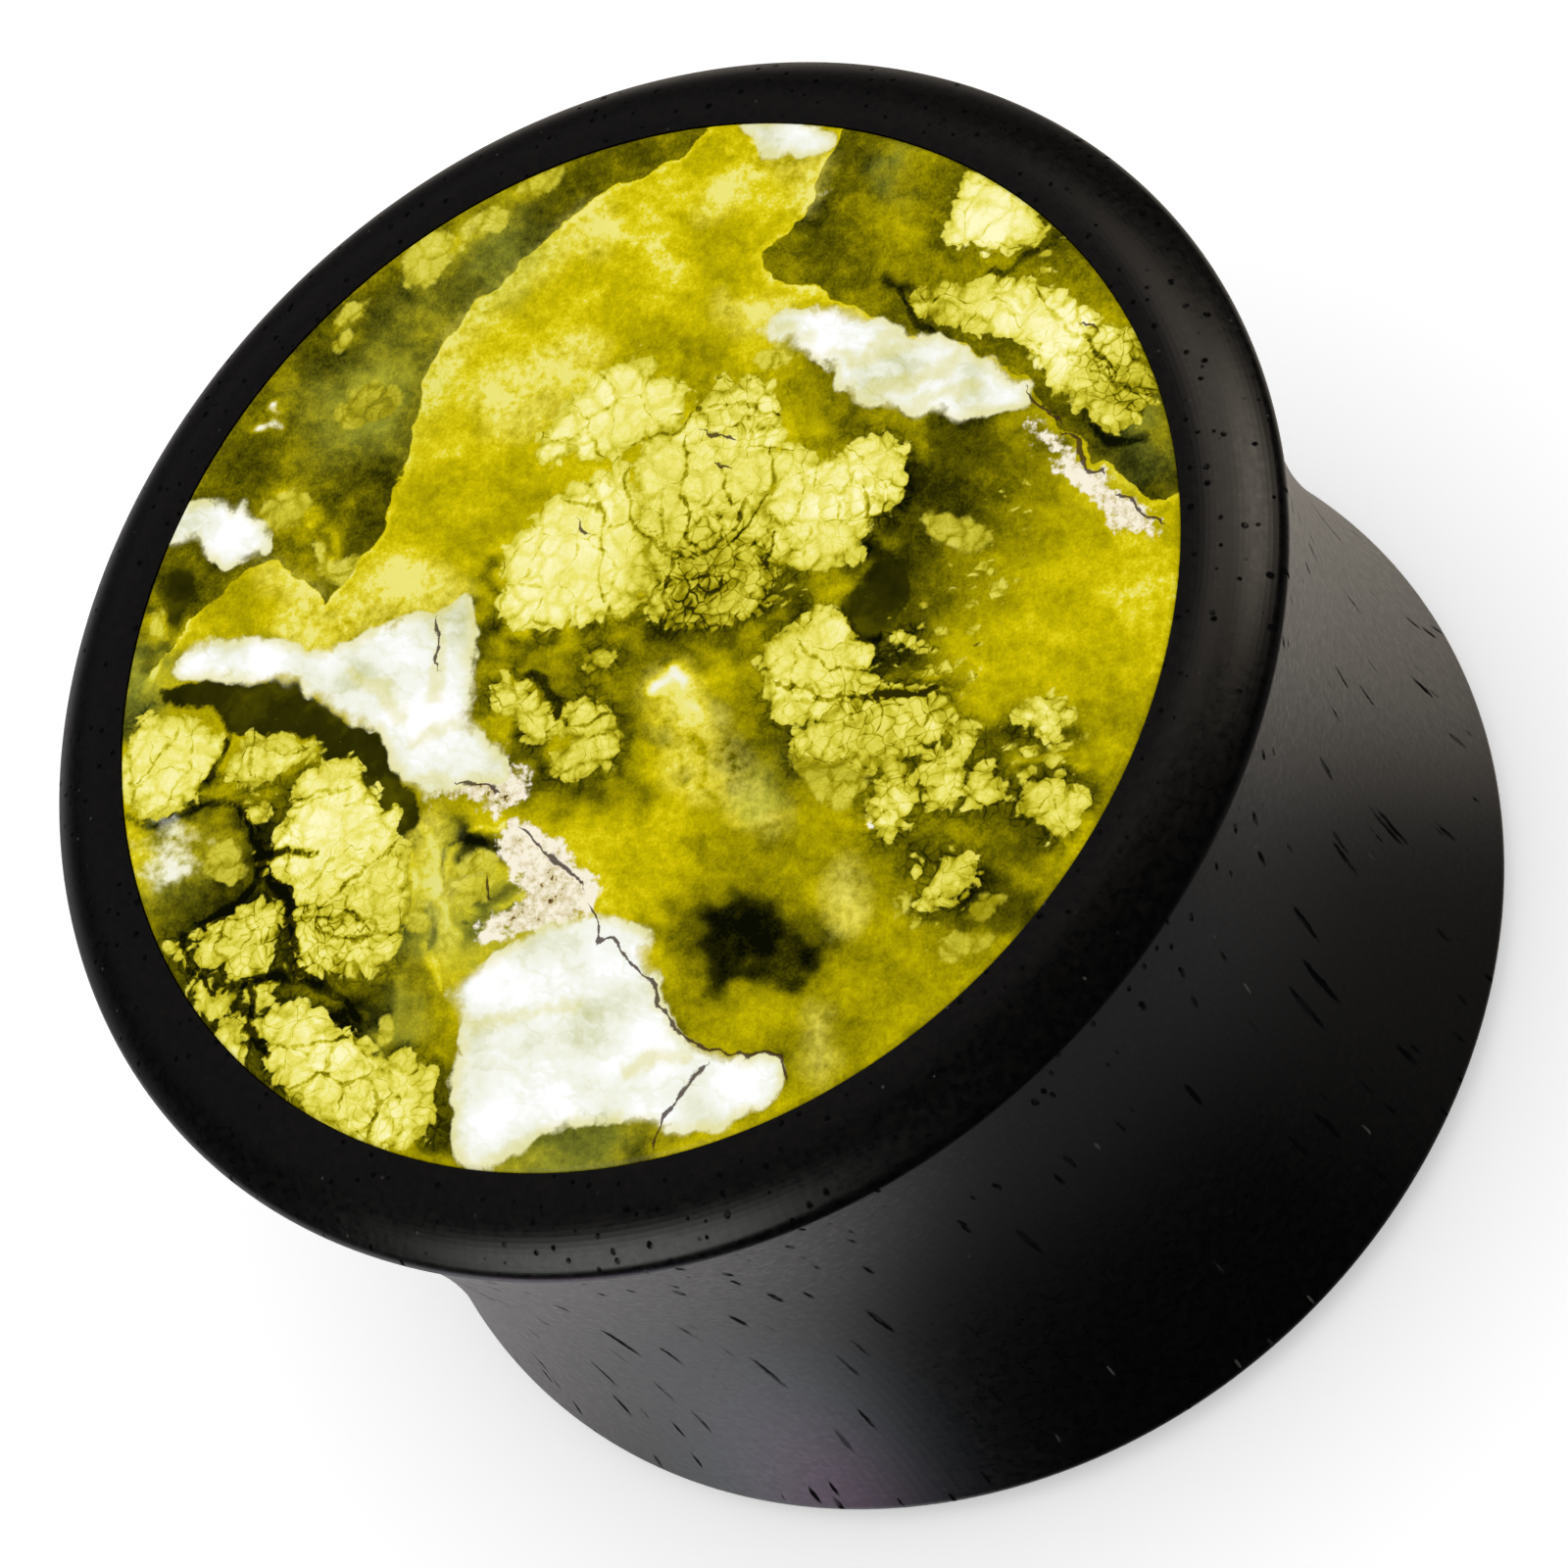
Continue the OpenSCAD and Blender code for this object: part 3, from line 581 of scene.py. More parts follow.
# Lightness of the golden ground.
GOLDEN_CLOUDS = [
    (4.0, -2.0, 1.3, 0.50), (3.0, -3.2, 1.1, 0.56), (5.2, -4.0, 1.1, 0.54), (7.2, -4.6, 0.8, 0.50),
    (5.2, -5.2, 1.0, 0.54), (5.6, -6.3, 0.9, 0.50), (4.5, -7.2, 0.9, 0.57), (3.0, -7.8, 0.8, 0.56),
    (-3.2, 7.0, 0.6, 0.78), (-3.5, 5.8, 0.6, 0.86), (-2.3, 5.5, 0.6, 0.88), (-3.6, 4.2, 0.6, 0.80),
    (-3.3, 3.9, 0.25, 0.98), (-3.3, 3.1, 0.2, 0.96), (-2.8, 3.5, 0.5, 0.68), (-3.6, 3.0, 0.5, 0.72),
    (-2.9, 2.3, 0.4, 0.64), (-4.2, 2.6, 0.4, 0.76), (-4.4, 1.8, 0.5, 0.88), (-5.3, 1.5, 0.4, 0.90),
    (-3.2, 1.5, 0.4, 0.84), (-1.5, 6.6, 0.6, 0.80), (-0.2, 5.9, 0.7, 0.74), (-0.7, 8.0, 0.5, 0.90),
    (0.4, 7.8, 0.5, 0.80), (1.2, 7.1, 0.5, 0.78), (1.6, 7.9, 0.25, 0.92), (1.5, 8.6, 0.4, 0.82),
    (0.5, 6.9, 0.4, 0.91), (2.6, 7.6, 0.4, 0.86), (2.1, 6.9, 0.4, 0.84), (1.8, 6.2, 0.4, 0.72),
    (1.0, 5.6, 0.4, 0.76), (2.6, 5.7, 0.4, 0.88), (0.3, 5.4, 0.4, 0.70), (1.2, 4.8, 0.4, 0.58),
    (-1.2, 5.3, 0.4, 0.86), (-1.8, 4.9, 0.4, 0.88), (-7.2, 2.0, 0.5, 0.76), (-7.6, 2.5, 0.3, 0.60),
    (-6.3, 2.3, 0.3, 0.74), (-5.9, 1.6, 0.3, 0.90), (3.0, 4.2, 0.5, 0.55), (3.4, 3.4, 0.4, 0.48),
    (3.9, 2.95, 0.35, 0.36), (5.6, 2.0, 0.9, 0.26), (6.3, 2.3, 0.4, 0.34), (5.6, 1.2, 0.8, 0.24),
    (6.5, 1.4, 0.5, 0.36), (7.0, 1.7, 0.4, 0.46), (7.3, 0.8, 0.5, 0.56), (6.8, 0.2, 0.5, 0.54),
    (6.0, 0.3, 0.35, 0.50), (5.3, 0.4, 0.35, 0.34), (4.7, 0.4, 0.45, 0.12), (8.1, 0.1, 0.4, 0.64),
    (5.4, -0.4, 0.5, 0.38), (6.3, -0.8, 0.4, 0.48), (7.4, -1.6, 1.0, 0.76), (8.3, -0.9, 0.6, 0.82),
    (8.2, -2.3, 0.7, 0.78), (6.2, -2.1, 0.5, 0.68), (8.5, -3.4, 0.5, 0.66), (6.6, -3.6, 0.35, 0.40),
    (7.2, -3.9, 0.3, 0.40), (4.6, -0.7, 0.5, 0.30), (4.4, -1.4, 0.3, 0.34), (0.5, -0.5, 0.6, 0.34),
    (1.6, -0.5, 0.45, 0.42), (2.5, 0.1, 0.35, 0.36), (1.3, -1.4, 0.4, 0.72), (0.1, -1.9, 0.35, 0.50),
    (0.6, -1.2, 0.3, 0.88), (1.1, -2.3, 0.45, 0.86), (1.2, -3.0, 0.4, 0.82), (0.2, -3.1, 0.35, 0.34),
    (2.2, -2.6, 0.4, 0.42), (1.9, -1.9, 0.3, 0.56), (1.8, -3.7, 0.4, 0.76), (2.9, -3.5, 0.4, 0.48),
    (2.9, -4.3, 0.4, 0.62), (0.4, -4.0, 0.7, 0.82), (-0.4, -3.5, 0.5, 0.80), (1.5, -4.4, 0.5, 0.66),
    (2.6, -4.8, 0.4, 0.66), (3.4, -5.5, 0.5, 0.78), (3.7, -6.1, 0.5, 0.80), (3.4, -6.9, 0.5, 0.68),
    (4.3, -6.7, 0.5, 0.62), (5.0, -4.9, 0.4, 0.50), (4.6, -5.7, 0.4, 0.56), (6.3, -5.0, 0.4, 0.48),
    (7.0, -5.5, 0.35, 0.30), (6.3, -5.8, 0.3, 0.22), (6.8, -5.9, 0.3, 0.64), (5.9, -6.3, 0.3, 0.26),
    (6.6, -6.4, 0.3, 0.24), (8.1, -4.3, 0.4, 0.54), (2.0, -6.0, 0.95, 0.30), (2.0, -5.8, 0.45, -0.12),
    (2.4, -6.3, 0.35, -0.06), (1.6, -6.5, 0.28, -0.02), (2.7, -6.5, 0.2, 0.14), (1.3, -5.85, 0.18, 0.42),
    (1.0, -5.8, 0.35, 0.46), (1.5, -7.1, 0.3, 0.34), (0.8, -6.4, 0.25, 0.56), (1.5, -7.4, 0.4, 0.58),
    (2.4, -7.5, 0.5, 0.68), (3.4, -8.2, 0.6, 0.55), (4.3, -7.7, 0.4, 0.52), (5.2, -7.2, 0.5, 0.62),
    (-7.7, -1.7, 0.3, 0.28), (-8.6, -1.8, 0.3, 0.14), (-6.8, -1.9, 0.3, 0.44), (-6.2, -1.7, 0.25, 0.56),
    (-6.6, -4.0, 1.6, 0.34), (-6.5, -5.8, 1.3, 0.36), (-8.0, -3.3, 0.8, 0.40), (-7.2, -2.6, 0.55, 0.50),
    (-6.8, -2.4, 0.25, 0.16), (-6.6, -3.0, 0.25, 0.16), (-7.3, -3.45, 0.35, 0.24), (-8.4, -3.3, 0.4, 0.36),
    (-3.9, -2.4, 0.3, 0.50), (-3.5, -3.0, 0.4, 0.68), (-3.7, -3.8, 0.4, 0.74), (-3.7, -4.9, 0.4, 0.60),
    (-3.0, -3.25, 0.22, 0.10), (-2.6, -3.2, 0.16, 0.12), (-2.3, -4.35, 0.16, 0.24),
    (-2.5, -4.75, 0.28, 0.26), (-3.8, -4.5, 0.3, 0.50), (-9.3, 0.7, 0.45, 0.44), (-9.1, 1.4, 0.3, 0.42),
    (-4.9, -5.4, 0.4, 0.62), (-5.0, -5.9, 0.32, 0.03), (-4.6, -6.1, 0.2, 0.06), (-3.8, -5.8, 0.3, 0.50),
    (-3.6, -6.5, 0.4, 0.50), (-3.3, -7.6, 0.4, 0.46), (-3.2, -8.6, 0.4, 0.30), (-2.65, 1.4, 0.22, 0.46),
    (-2.65, 0.7, 0.25, 0.38), (-2.7, 0.1, 0.3, 0.40), (-2.7, -0.7, 0.3, 0.48), (-2.1, -1.7, 0.35, 0.40),
    (-1.5, -0.7, 0.35, 0.44), (-1.7, 0.1, 0.3, 0.40), (-0.5, 0.1, 0.3, 0.42), (-0.9, -0.7, 0.3, 0.46),
    (-0.1, -1.2, 0.3, 0.44), (-0.1, -2.6, 0.35, 0.42), (-1.0, -2.8, 0.35, 0.42), (-1.8, -2.4, 0.3, 0.36),
    (-1.0, -3.2, 0.25, 0.70), (-1.0, -9.0, 0.6, 0.30), (0.3, -9.2, 0.4, 0.28),
]
# Brightness of the grains.
BRIGHT_CLOUDS = [
    (-4.9, 5.5, 0.7, 0.42), (-4.0, 8.1, 0.5, 0.90), (-3.2, 8.4, 0.3, 0.80), (5.9, -6.4, 0.4, 0.50),
    (-6.4, 3.7, 0.5, 0.72), (-0.5, 4.2, 1.0, 0.78), (-1.2, 1.6, 1.2, 0.84), (3.4, 1.8, 0.9, 0.80),
    (-5.3, -2.6, 0.8, 0.90), (-5.5, -6.2, 0.7, 0.80), (6.2, 6.0, 0.5, 0.98), (7.4, 3.7, 0.6, 0.98),
    (3.6, -0.9, 0.5, 0.76), (-2.0, -0.9, 0.5, 0.62), (-0.8, -2.0, 0.7, 0.58), (-0.6, -0.4, 0.3, 0.45),
    (4.2, -2.8, 0.9, 0.52), (1.3, 0.5, 0.9, 0.32), (1.3, 1.3, 0.5, 0.38), (1.3, 2.6, 0.8, 0.72),
    (-5.1, -4.2, 0.7, 0.58), (8.7, 2.6, 0.6, 0.40), (7.3, -4.7, 0.5, 0.62), (5.4, -5.6, 0.4, 0.66),
    (-8.5, -0.5, 0.9, 0.78), (-7.0, -1.0, 0.4, 0.66), (-7.3, -4.2, 0.7, 0.66), (-4.3, -7.6, 0.8, 0.70),
    (5.2, 4.9, 0.5, 0.50),
]
# Places where the grains are crumbled small, and where they hold together.
CRUMBLE_CLOUDS = [
    (1.4, 1.8, 1.3, 0.18), (1.2, 0.6, 0.8, 0.65), (4.3, 1.2, 0.5, 0.45), (1.6, 3.6, 0.6, 0.45),
    (-1.2, 1.4, 1.1, 0.05), (3.2, 1.9, 0.8, 0.25), (-5.3, -4.3, 0.6, 0.7), (-6.3, -4.4, 0.5, 0.7),
    (-5.2, -2.8, 0.8, 0.25), (4.4, -2.2, 0.8, 0.6), (2.9, -1.2, 0.7, 0.15), (5.0, -3.4, 0.6, 0.4),
    (8.3, 3.2, 0.7, 0.5), (8.6, 2.2, 0.5, 0.6), (6.6, 4.4, 0.7, 0.2), (-4.5, -7.6, 0.6, 0.4),
    (-8.5, -0.4, 0.8, 0.05), (-0.5, 4.3, 0.9, 0.1), (6.1, 6.0, 0.5, 0.0),
]
# Places with small loose crumbs of grain.
CRUMB_CLOUDS = [
    (5.3, -1.7, 0.7, 0.9), (6.4, -0.6, 0.5, 0.8), (5.5, -5.9, 0.5, 0.9), (7.0, -3.9, 0.4, 0.9),
    (-6.7, -3.0, 0.4, 0.9), (-7.1, -5.2, 0.6, 0.9), (-6.2, -0.9, 0.4, 0.8), (2.4, 0.2, 0.4, 0.8),
    (6.4, 0.9, 0.4, 0.6), (7.4, 5.4, 0.4, 0.8),
]
# Whitish haze in the ground.
HAZE_CLOUDS = [
    (-8.4, -2.5, 0.50, 1.5), (-8.0, -2.35, 0.30, 1.1), (-8.9, -2.0, 0.25, 0.8), (0.65, -1.15, 0.16, 1.6),
    (0.95, -1.7, 0.25, 0.6), (-6.4, 3.7, 0.3, 0.35), (-5.4, 2.6, 0.15, 0.5), (-6.8, 5.75, 0.14, 1.8),
    (-7.0, 5.4, 0.12, 1.8), (4.1, -4.25, 0.09, 1.6), (5.45, -2.4, 0.12, 0.9), (-3.0, -3.8, 0.3, 0.7),
    (-3.7, -3.7, 0.3, 0.4), (2.4, -3.4, 0.2, 0.4), (-8.7, 4.6, 0.3, 0.5), (-1.7, 9.1, 0.3, 0.25),
    (8.9, -1.0, 0.3, 0.3), (-3.6, 6.2, 0.3, 0.35), (-3.9, 5.3, 0.25, 0.4), (-2.9, 7.0, 0.3, 0.3),
    (3.4, 7.6, 0.12, 0.7), (3.0, 6.9, 0.12, 0.5), (1.9, 8.6, 0.3, 0.4), (-3.6, -3.4, 0.3, 0.35),
    (-3.3, -4.7, 0.3, 0.30), (-2.2, -4.4, 0.25, 0.5), (8.8, 3.3, 0.5, 0.4),
]
# Places where the ground turns green.
GREEN_CLOUDS = [
    (-3.8, -4.5, 0.4, 0.9), (-2.5, -4.8, 0.5, 0.9), (-4.9, 5.5, 0.75, 1.0), (-2.6, 7.7, 0.6, 0.8),
    (-4.0, 7.0, 0.6, 0.35), (-3.7, -4.9, 0.4, 0.6), (-4.2, -6.2, 0.3, 0.6), (-2.9, -4.3, 0.6, 0.5),
    (-9.2, 0.9, 0.5, 0.9), (2.3, -3.4, 0.3, 0.7), (-8.4, -2.6, 0.6, 0.5), (-1.0, -9.1, 0.8, 0.9),
    (4.7, 7.7, 0.3, 0.6), (-3.6, -3.4, 0.4, 0.4), (8.8, 1.6, 0.5, 0.7),
]
# Value of each soft chart between its clouds, beside the clouds that change it.
CLOUD_CHARTS = {
    "dark": (DEEP_CLOUDS, 0.42),
    "golden": (GOLDEN_CLOUDS, 0.78),
    "bright": (BRIGHT_CLOUDS, 0.70),
    "crumble": (CRUMBLE_CLOUDS, 0.25),
    "crumbs": (CRUMB_CLOUDS, 0.0),
    "haze": (HAZE_CLOUDS, 0.0),
    "green": (GREEN_CLOUDS, 0.0),
}
# Charts of how deep each spot lies inside the patches of one kind.
PATCH_CHARTS = {
    "deep": DEEP, "pale": PALE, "white": WHITE, "grains": GRAINS,
    "gaps": GAPS, "veins": VEINS, "sunken": SUNKEN,
}
# Scales of colour from dark to light: place from 0 to 1, then red, green and blue as on a screen.
GROUND_COLOURS = [
    (0.0, 8, 10, 0), (0.2, 45, 44, 0), (0.4, 96, 91, 0), (0.58, 146, 136, 0),
    (0.72, 180, 167, 0), (0.80, 200, 184, 0), (0.90, 222, 208, 24), (1.0, 236, 228, 120),
]
GRAIN_COLOURS = [
    (0.0, 44, 41, 0), (0.15, 94, 88, 2), (0.35, 160, 150, 12),
    (0.55, 208, 199, 58), (0.75, 234, 226, 110), (1.0, 251, 246, 190),
]
WHITE_COLOURS = [
    (0.0, 186, 188, 116), (0.3, 214, 216, 182), (0.6, 235, 236, 218),
    (0.85, 243, 245, 238), (1.0, 252, 252, 252),
]
STREAK_YELLOW = colour(228, 221, 116)
DEEP_OLIVE = colour(22, 32, 0)
PALE_OLIVE = colour(184, 192, 74)
HAZE_WHITE = colour(240, 240, 222)
VEIN_BEIGE = colour(190, 172, 104)
VEIN_CREAM = colour(244, 236, 214)
VEIN_BROWN = colour(96, 62, 34)
RIM_YELLOW = colour(222, 216, 130)
CRACK_BROWN = colour(58, 36, 22)
# How far from an edge or a line the distance is still measured, in mm.
reach = 1.2
# Where a cloud has faded to about a third, as a share of its radius.
cloud_spread = 1.3


def as_points(numbers):
    return np.array(numbers).reshape(-1, 2)


def softened(points):
    """Cuts the corners of a closed outline twice, so that it runs as a soft curve."""
    near, far = 0.75, 0.25
    for _ in range(2):
        after = np.roll(points, -1, axis=0)
        points = np.stack([near * points + far * after, far * points + near * after], 1).reshape(-1, 2)
    return points


def drift(spots, wave, amount, seed):
    """Uneven shift of each spot in mm: waves of about one length, summed in random directions."""
    random = np.random.default_rng(seed)
    shift = np.zeros_like(spots)
    waves = 16
    shortest, longest = 0.7, 1.4
    for _ in range(waves):
        heading, phase_x, phase_y = random.uniform(0, math.tau, 3)
        pitch = math.tau / (wave * random.uniform(shortest, longest))
        turn = spots @ (pitch * np.array([math.cos(heading), math.sin(heading)]))
        shift += np.stack([np.sin(turn + phase_x), np.sin(turn + phase_y)], 1)
    return shift * amount * math.sqrt(2 / waves)


def segment_gaps(spots, start, end):
    """Distances of the spots to the straight line between two points."""
    along = end - start
    share = np.clip((spots - start) @ along / (along @ along), 0, 1)
    return np.linalg.norm(spots - start - share[:, None] * along, axis=1)


def depth_inside(spots, patches):
    """How deep each spot lies inside the nearest patch, in mm, negative outside."""
    best = np.full(len(spots), -reach)
    for numbers in patches:
        outline = softened(as_points(numbers))
        near = np.all((spots > outline.min(0) - reach) & (spots < outline.max(0) + reach), axis=1)
        local = spots[near]
        gap = np.full(len(local), reach)
        inside = np.zeros(len(local), bool)
        for start, end in zip(outline, np.roll(outline, -1, axis=0)):
            gap = np.minimum(gap, segment_gaps(local, start, end))
            run, rise = end - start
            crosses = (start[1] > local[:, 1]) != (end[1] > local[:, 1])
            edge_x = start[0] + (local[:, 1] - start[1]) * run / (rise or 1.0)
            inside ^= crosses & (local[:, 0] < edge_x)
        best[near] = np.maximum(best[near], np.where(inside, gap, -gap))
    return best


def side_of_lines(spots, lines):
    """Distance to the nearest line in mm, negative on its right."""
    side = np.full(len(spots), reach)
    for numbers in lines:
        points = as_points(numbers)
        for start, end in zip(points[:-1], points[1:]):
            distance = segment_gaps(spots, start, end)
            run, rise = end - start
            cross = run * (spots[:, 1] - start[1]) - rise * (spots[:, 0] - start[0])
            closer = distance < np.abs(side)
            side = np.where(closer, np.where(cross < 0, -distance, distance), side)
    return side


def clouded(spots, clouds, start):
    """Value of soft clouds laid one over the other on an even start value."""
    value = np.full(len(spots), start)
    for x, y, radius, strength in clouds:
        distance = np.hypot(spots[:, 0] - x, spots[:, 1] - y)
        cover = np.exp(-((distance / (cloud_spread * radius)) ** 2))
        value += (strength - value) * cover
    return value


def stone_outline():
    """Outline of the disc: rings across the polished face, the bevel, the edge and the back."""
    top = stone_high[2]
    rings = np.linspace(0.0, stone_r - stone_bevel, ring_count)
    points = [(r, top) for r in rings]
    return points + [(stone_r, top - stone_bevel), (stone_r, stone_low[2]), (0.0, stone_low[2])]


def stone_material():
    """Layers of the polished face, from the ground up, each laid over the ones before it."""
    material = bpy.data.materials.new("polished_stone")
    tree = new_tree(material)

    def chart(name):
        return add_node(tree, "ShaderNodeAttribute", {"attribute_name": name}, {}, "Fac")

    def noise(scale, detail, place, output="Fac"):
        return add_node(tree, "ShaderNodeTexNoise", {"noise_dimensions": "2D"}, {
            "Vector": place, "Scale": scale, "Detail": detail, "Roughness": 0.6}, output)

    def cells(feature, scale, place, output="Distance"):
        return add_node(tree, "ShaderNodeTexVoronoi", {"feature": feature, "voronoi_dimensions": "2D"}, {
            "Vector": place, "Scale": scale}, output)

    def ramp(colours, value):
        stops = [(place, colour(*parts)) for place, *parts in colours]
        return add_node(tree, "ShaderNodeValToRGB", {"stops": stops}, {"Fac": value})

    # Noise and cells that the layers share. The ones called swing run from -0.5 to 0.5.
    in_mm = place_in_mm(tree)
    swirl = pushed(in_mm, noise(2.2, 3, in_mm, "Color"), 0.5)
    crooked = pushed(in_mm, noise(1.6, 2, in_mm, "Color"), 0.4)
    streaked = add_node(tree, "ShaderNodeMapping", {"vector_type": "TEXTURE"}, {
        "Vector": swirl, "Rotation": (0.0, 0.0, math.radians(-35)), "Scale": (1.6, 0.6, 1.0)})
    flattened = add_node(tree, "ShaderNodeMapping", {}, {"Vector": crooked, "Scale": (0.8, 1.4, 1.0)})
    soft = noise(0.9, 4, swirl)
    fine = noise(6, 3, in_mm)
    grit = noise(20, 1, in_mm)
    soft_swing = soft - 0.5
    fine_swing = fine - 0.5
    grit_swing = grit - 0.5
    fold_swing = noise(0.9, 3, streaked) - 0.5
    lump_edge = cells("DISTANCE_TO_EDGE", 2.0, crooked)
    nodule_edge = cells("DISTANCE_TO_EDGE", 4.6, crooked)
    crack_edge = cells("DISTANCE_TO_EDGE", 1.3, crooked)
    lump = lump_edge.step(0.0, 0.22)
    nodule = nodule_edge.step(0.0, 0.16)
    crumb = cells("F1", 2.8, flattened)
    crumb_pick = add_node(tree, "ShaderNodeSeparateColor", {}, {"Color": crumb.out("Color")}, "Red")
    crumble = chart("crumble")

    # Clear ground, golden where its upper sheet is whole and darker in the windows, with painted shade
    # round the grains and the white, along the clefts and in the hollows.
    mottle = soft_swing * 0.36 + fine_swing * 0.26 + grit_swing * 0.18 + fold_swing * 0.38
    # Painted shade: the ground is darkened near the grains where it isn't bright golden, and a little near
    # the white.
    painted_shade_near_grains = chart("grains").step(-0.45, -0.02) * chart("golden").step(0.82, 0.55)
    shadow = painted_shade_near_grains * (0.30 - nodule * 0.14) + chart("white").step(-0.25, 0.0) * 0.06
    sheet_edge = chart("deep") + fine_swing * 0.12
    lit_edge = sheet_edge.step(-0.2, 0.0) * 0.10
    golden_tone = chart("golden") + mottle - shadow + lit_edge
    deep_tone = chart("dark") + 0.03 + mottle * 1.2 - shadow
    window = sheet_edge.step(-0.02, 0.02)
    haze = chart("haze") * (fine_swing * 0.8 + fold_swing * 1.6 + 0.75)
    ribbon_gap = chart("ribbon_gap") + fine_swing * 0.2 + soft_swing * 0.1
    ribbon = 1 - ribbon_gap.step(0.02, 0.10)
    cleft_width = 0.02 + soft.step(0.3, 0.7) * 0.07 + fine.step(0.4, 0.7) * 0.05
    # Painted shade along the clefts, which darkens the ground and the grain edges beside them.
    cleft_shade = 1 - (chart("cleft_gap") / cleft_width).step(0.3, 1.5)
    streaks = 0.5 + (lump - 0.7) * 0.2 + fine_swing * 1.2 + fold_swing * 1.4
    pale = chart("pale").step(-0.3, 0.3) * streaks
    tone = golden_tone + (deep_tone - golden_tone) * window + haze.least(1.0) * 0.4
    tone = tone + ribbon * 0.18 - cleft_shade * 0.3 + pale * 0.2
    ground = ramp(GROUND_COLOURS, tone)
    paled = mix(pale * 0.55, ground, STREAK_YELLOW)
    green = mix(chart("green") * 0.7, paled, mix(tone, DEEP_OLIVE, PALE_OLIVE))
    # Painted shade: the hollows take the darkest colours of the ground.
    gap_shade_mask = (chart("gaps") + fine_swing * 0.2).step(-0.08, 0.04)
    gap_shaded = mix(gap_shade_mask, green, ramp(GROUND_COLOURS, soft * 0.5 - 0.06))
    hazy = mix(haze.step(0.35, 1.2), gap_shaded, HAZE_WHITE)

    # Grains, with ragged edges and loose crumbs, cracked, split, chipped and seamed, with painted light and
    # shade on their lumps and painted shade at their edges.
    ragged = fine_swing * 0.16 + (nodule_edge - 0.13) * 0.16 + (lump_edge - 0.15) * 0.35
    loose = (chart("crumbs") * (0.25 + crumb_pick * 0.5) - crumb - 0.12) * 0.3 + fine_swing * 0.1
    grain_depth = (chart("grains") + ragged).most(loose)
    crack_width = soft.step(0.42, 0.72) * 0.09 + 0.012
    crack = 1 - (crack_edge / crack_width).step(0.2, 1.2)
    split_width = (crumble + soft_swing * 1.2).step(0.1, 0.9) * 0.16 + 0.004
    split = 1 - (nodule_edge / split_width).step(0.1, 1.3)
    seam_width = 0.02 + fine.step(0.3, 0.7) * 0.06
    seam = (1 - (chart("seam_side").size() / seam_width).step(0.2, 1.2)) * chart("seam_gap").step(0.2, 0.12)
    seam_dark = 0.08 + fine.step(0.38, 0.58) * 0.20 + soft.step(0.3, 0.7) * 0.24
    chipped = (crumble * (crumb_pick + soft)).step(0.75, 1.1) * (1.1 - nodule)
    # Painted light and shade: each lump is paler in its middle and darker towards its edges, as if rounded.
    painted_lump_shading = (lump - 0.75) * (0.07 + soft.step(0.4, 0.7) * 0.1 + crumble * 0.2)
    painted_lump_shading = painted_lump_shading + (nodule - 0.65) * (0.02 + crumble * 0.14)
    speckle = fine_swing * (0.16 + crumble * 0.25) + soft_swing * 0.4 + grit_swing * 0.14
    worn = crack * fine.step(0.35, 0.65) * 0.34 + split * (0.05 + crumble * 0.20)
    worn = worn + seam * seam_dark + chipped * 0.32
    edge_shade = grain_depth.step(0.3, 0.0) * 0.22 + cleft_shade * 0.7
    grain_tone = chart("bright") + 0.04 + painted_lump_shading + speckle - worn.least(0.5) - edge_shade
    sunk_tone = chart("bright") * 0.6 + 0.08 + painted_lump_shading + speckle * 0.8 - split * 0.06
    sunk_mask = (chart("sunken") + ragged * 0.5).step(-0.05, 0.06) * 0.85
    sunk = mix(sunk_mask, hazy, ramp(GRAIN_COLOURS, sunk_tone))
    with_grains = mix(grain_depth.step(-0.03, 0.03), sunk, ramp(GRAIN_COLOURS, grain_tone))

    # Beige veins, streaked along the folds, with brown specks.
    vein_mask = (chart("veins") + fine_swing * 0.5 + fold_swing * 0.8).step(-0.06, 0.10)
    vein_tone = fine_swing * 2.4 + fold_swing * 2.0 + grit_swing * 0.8 + 0.75
    vein_colour = mix(vein_tone, VEIN_BEIGE, VEIN_CREAM)
    vein_speck = (grit * 0.2 + fine + fold_swing * 0.5).step(0.40, 0.35)
    veined = mix(vein_mask, with_grains, mix(vein_speck, vein_colour, VEIN_BROWN))

    # White bands with painted light and shade of soft bulges and ridges, yellowish at their rims and along
    # their creases, and a little darker in the creases as painted shade.
    white_depth = chart("white") + fine_swing * 0.10
    # Painted light and shade: lighter over soft bulges and ridges, greyer and greener between them.
    painted_ridge_shading = fold_swing.size().step(0.0, 0.10)
    painted_bulge_shading = noise(0.7, 1, in_mm)
    crease = 1 - (chart("fold_gap") + soft_swing * 0.25 + fine_swing * 0.15).step(0.0, 0.24)
    white_tone = 0.61 + painted_ridge_shading * 0.2 + (painted_bulge_shading - 0.5) * 1.5 + soft_swing * 0.6
    # Painted shade in the creases.
    white_tone = white_tone + fine_swing * 0.3 - crease * 0.1
    rim_mask = (white_depth.step(0.3, 0.0) * 0.7).most(crease * 0.5)
    rimmed = mix(rim_mask, ramp(WHITE_COLOURS, white_tone), RIM_YELLOW)
    banded = mix(white_depth.step(-0.03, 0.04 + soft.step(0.45, 0.7) * 0.35), veined, rimmed)

    # Dark hair cracks over all of it.
    line_width = 0.02 + fine.step(0.35, 0.7) * 0.05
    line = 1 - (chart("fissure_side").size() / line_width).step(0.4, 1.0)
    finished = mix(line * chart("fissure_gap").step(0.2, 0.12) * 0.9, banded, CRACK_BROWN)

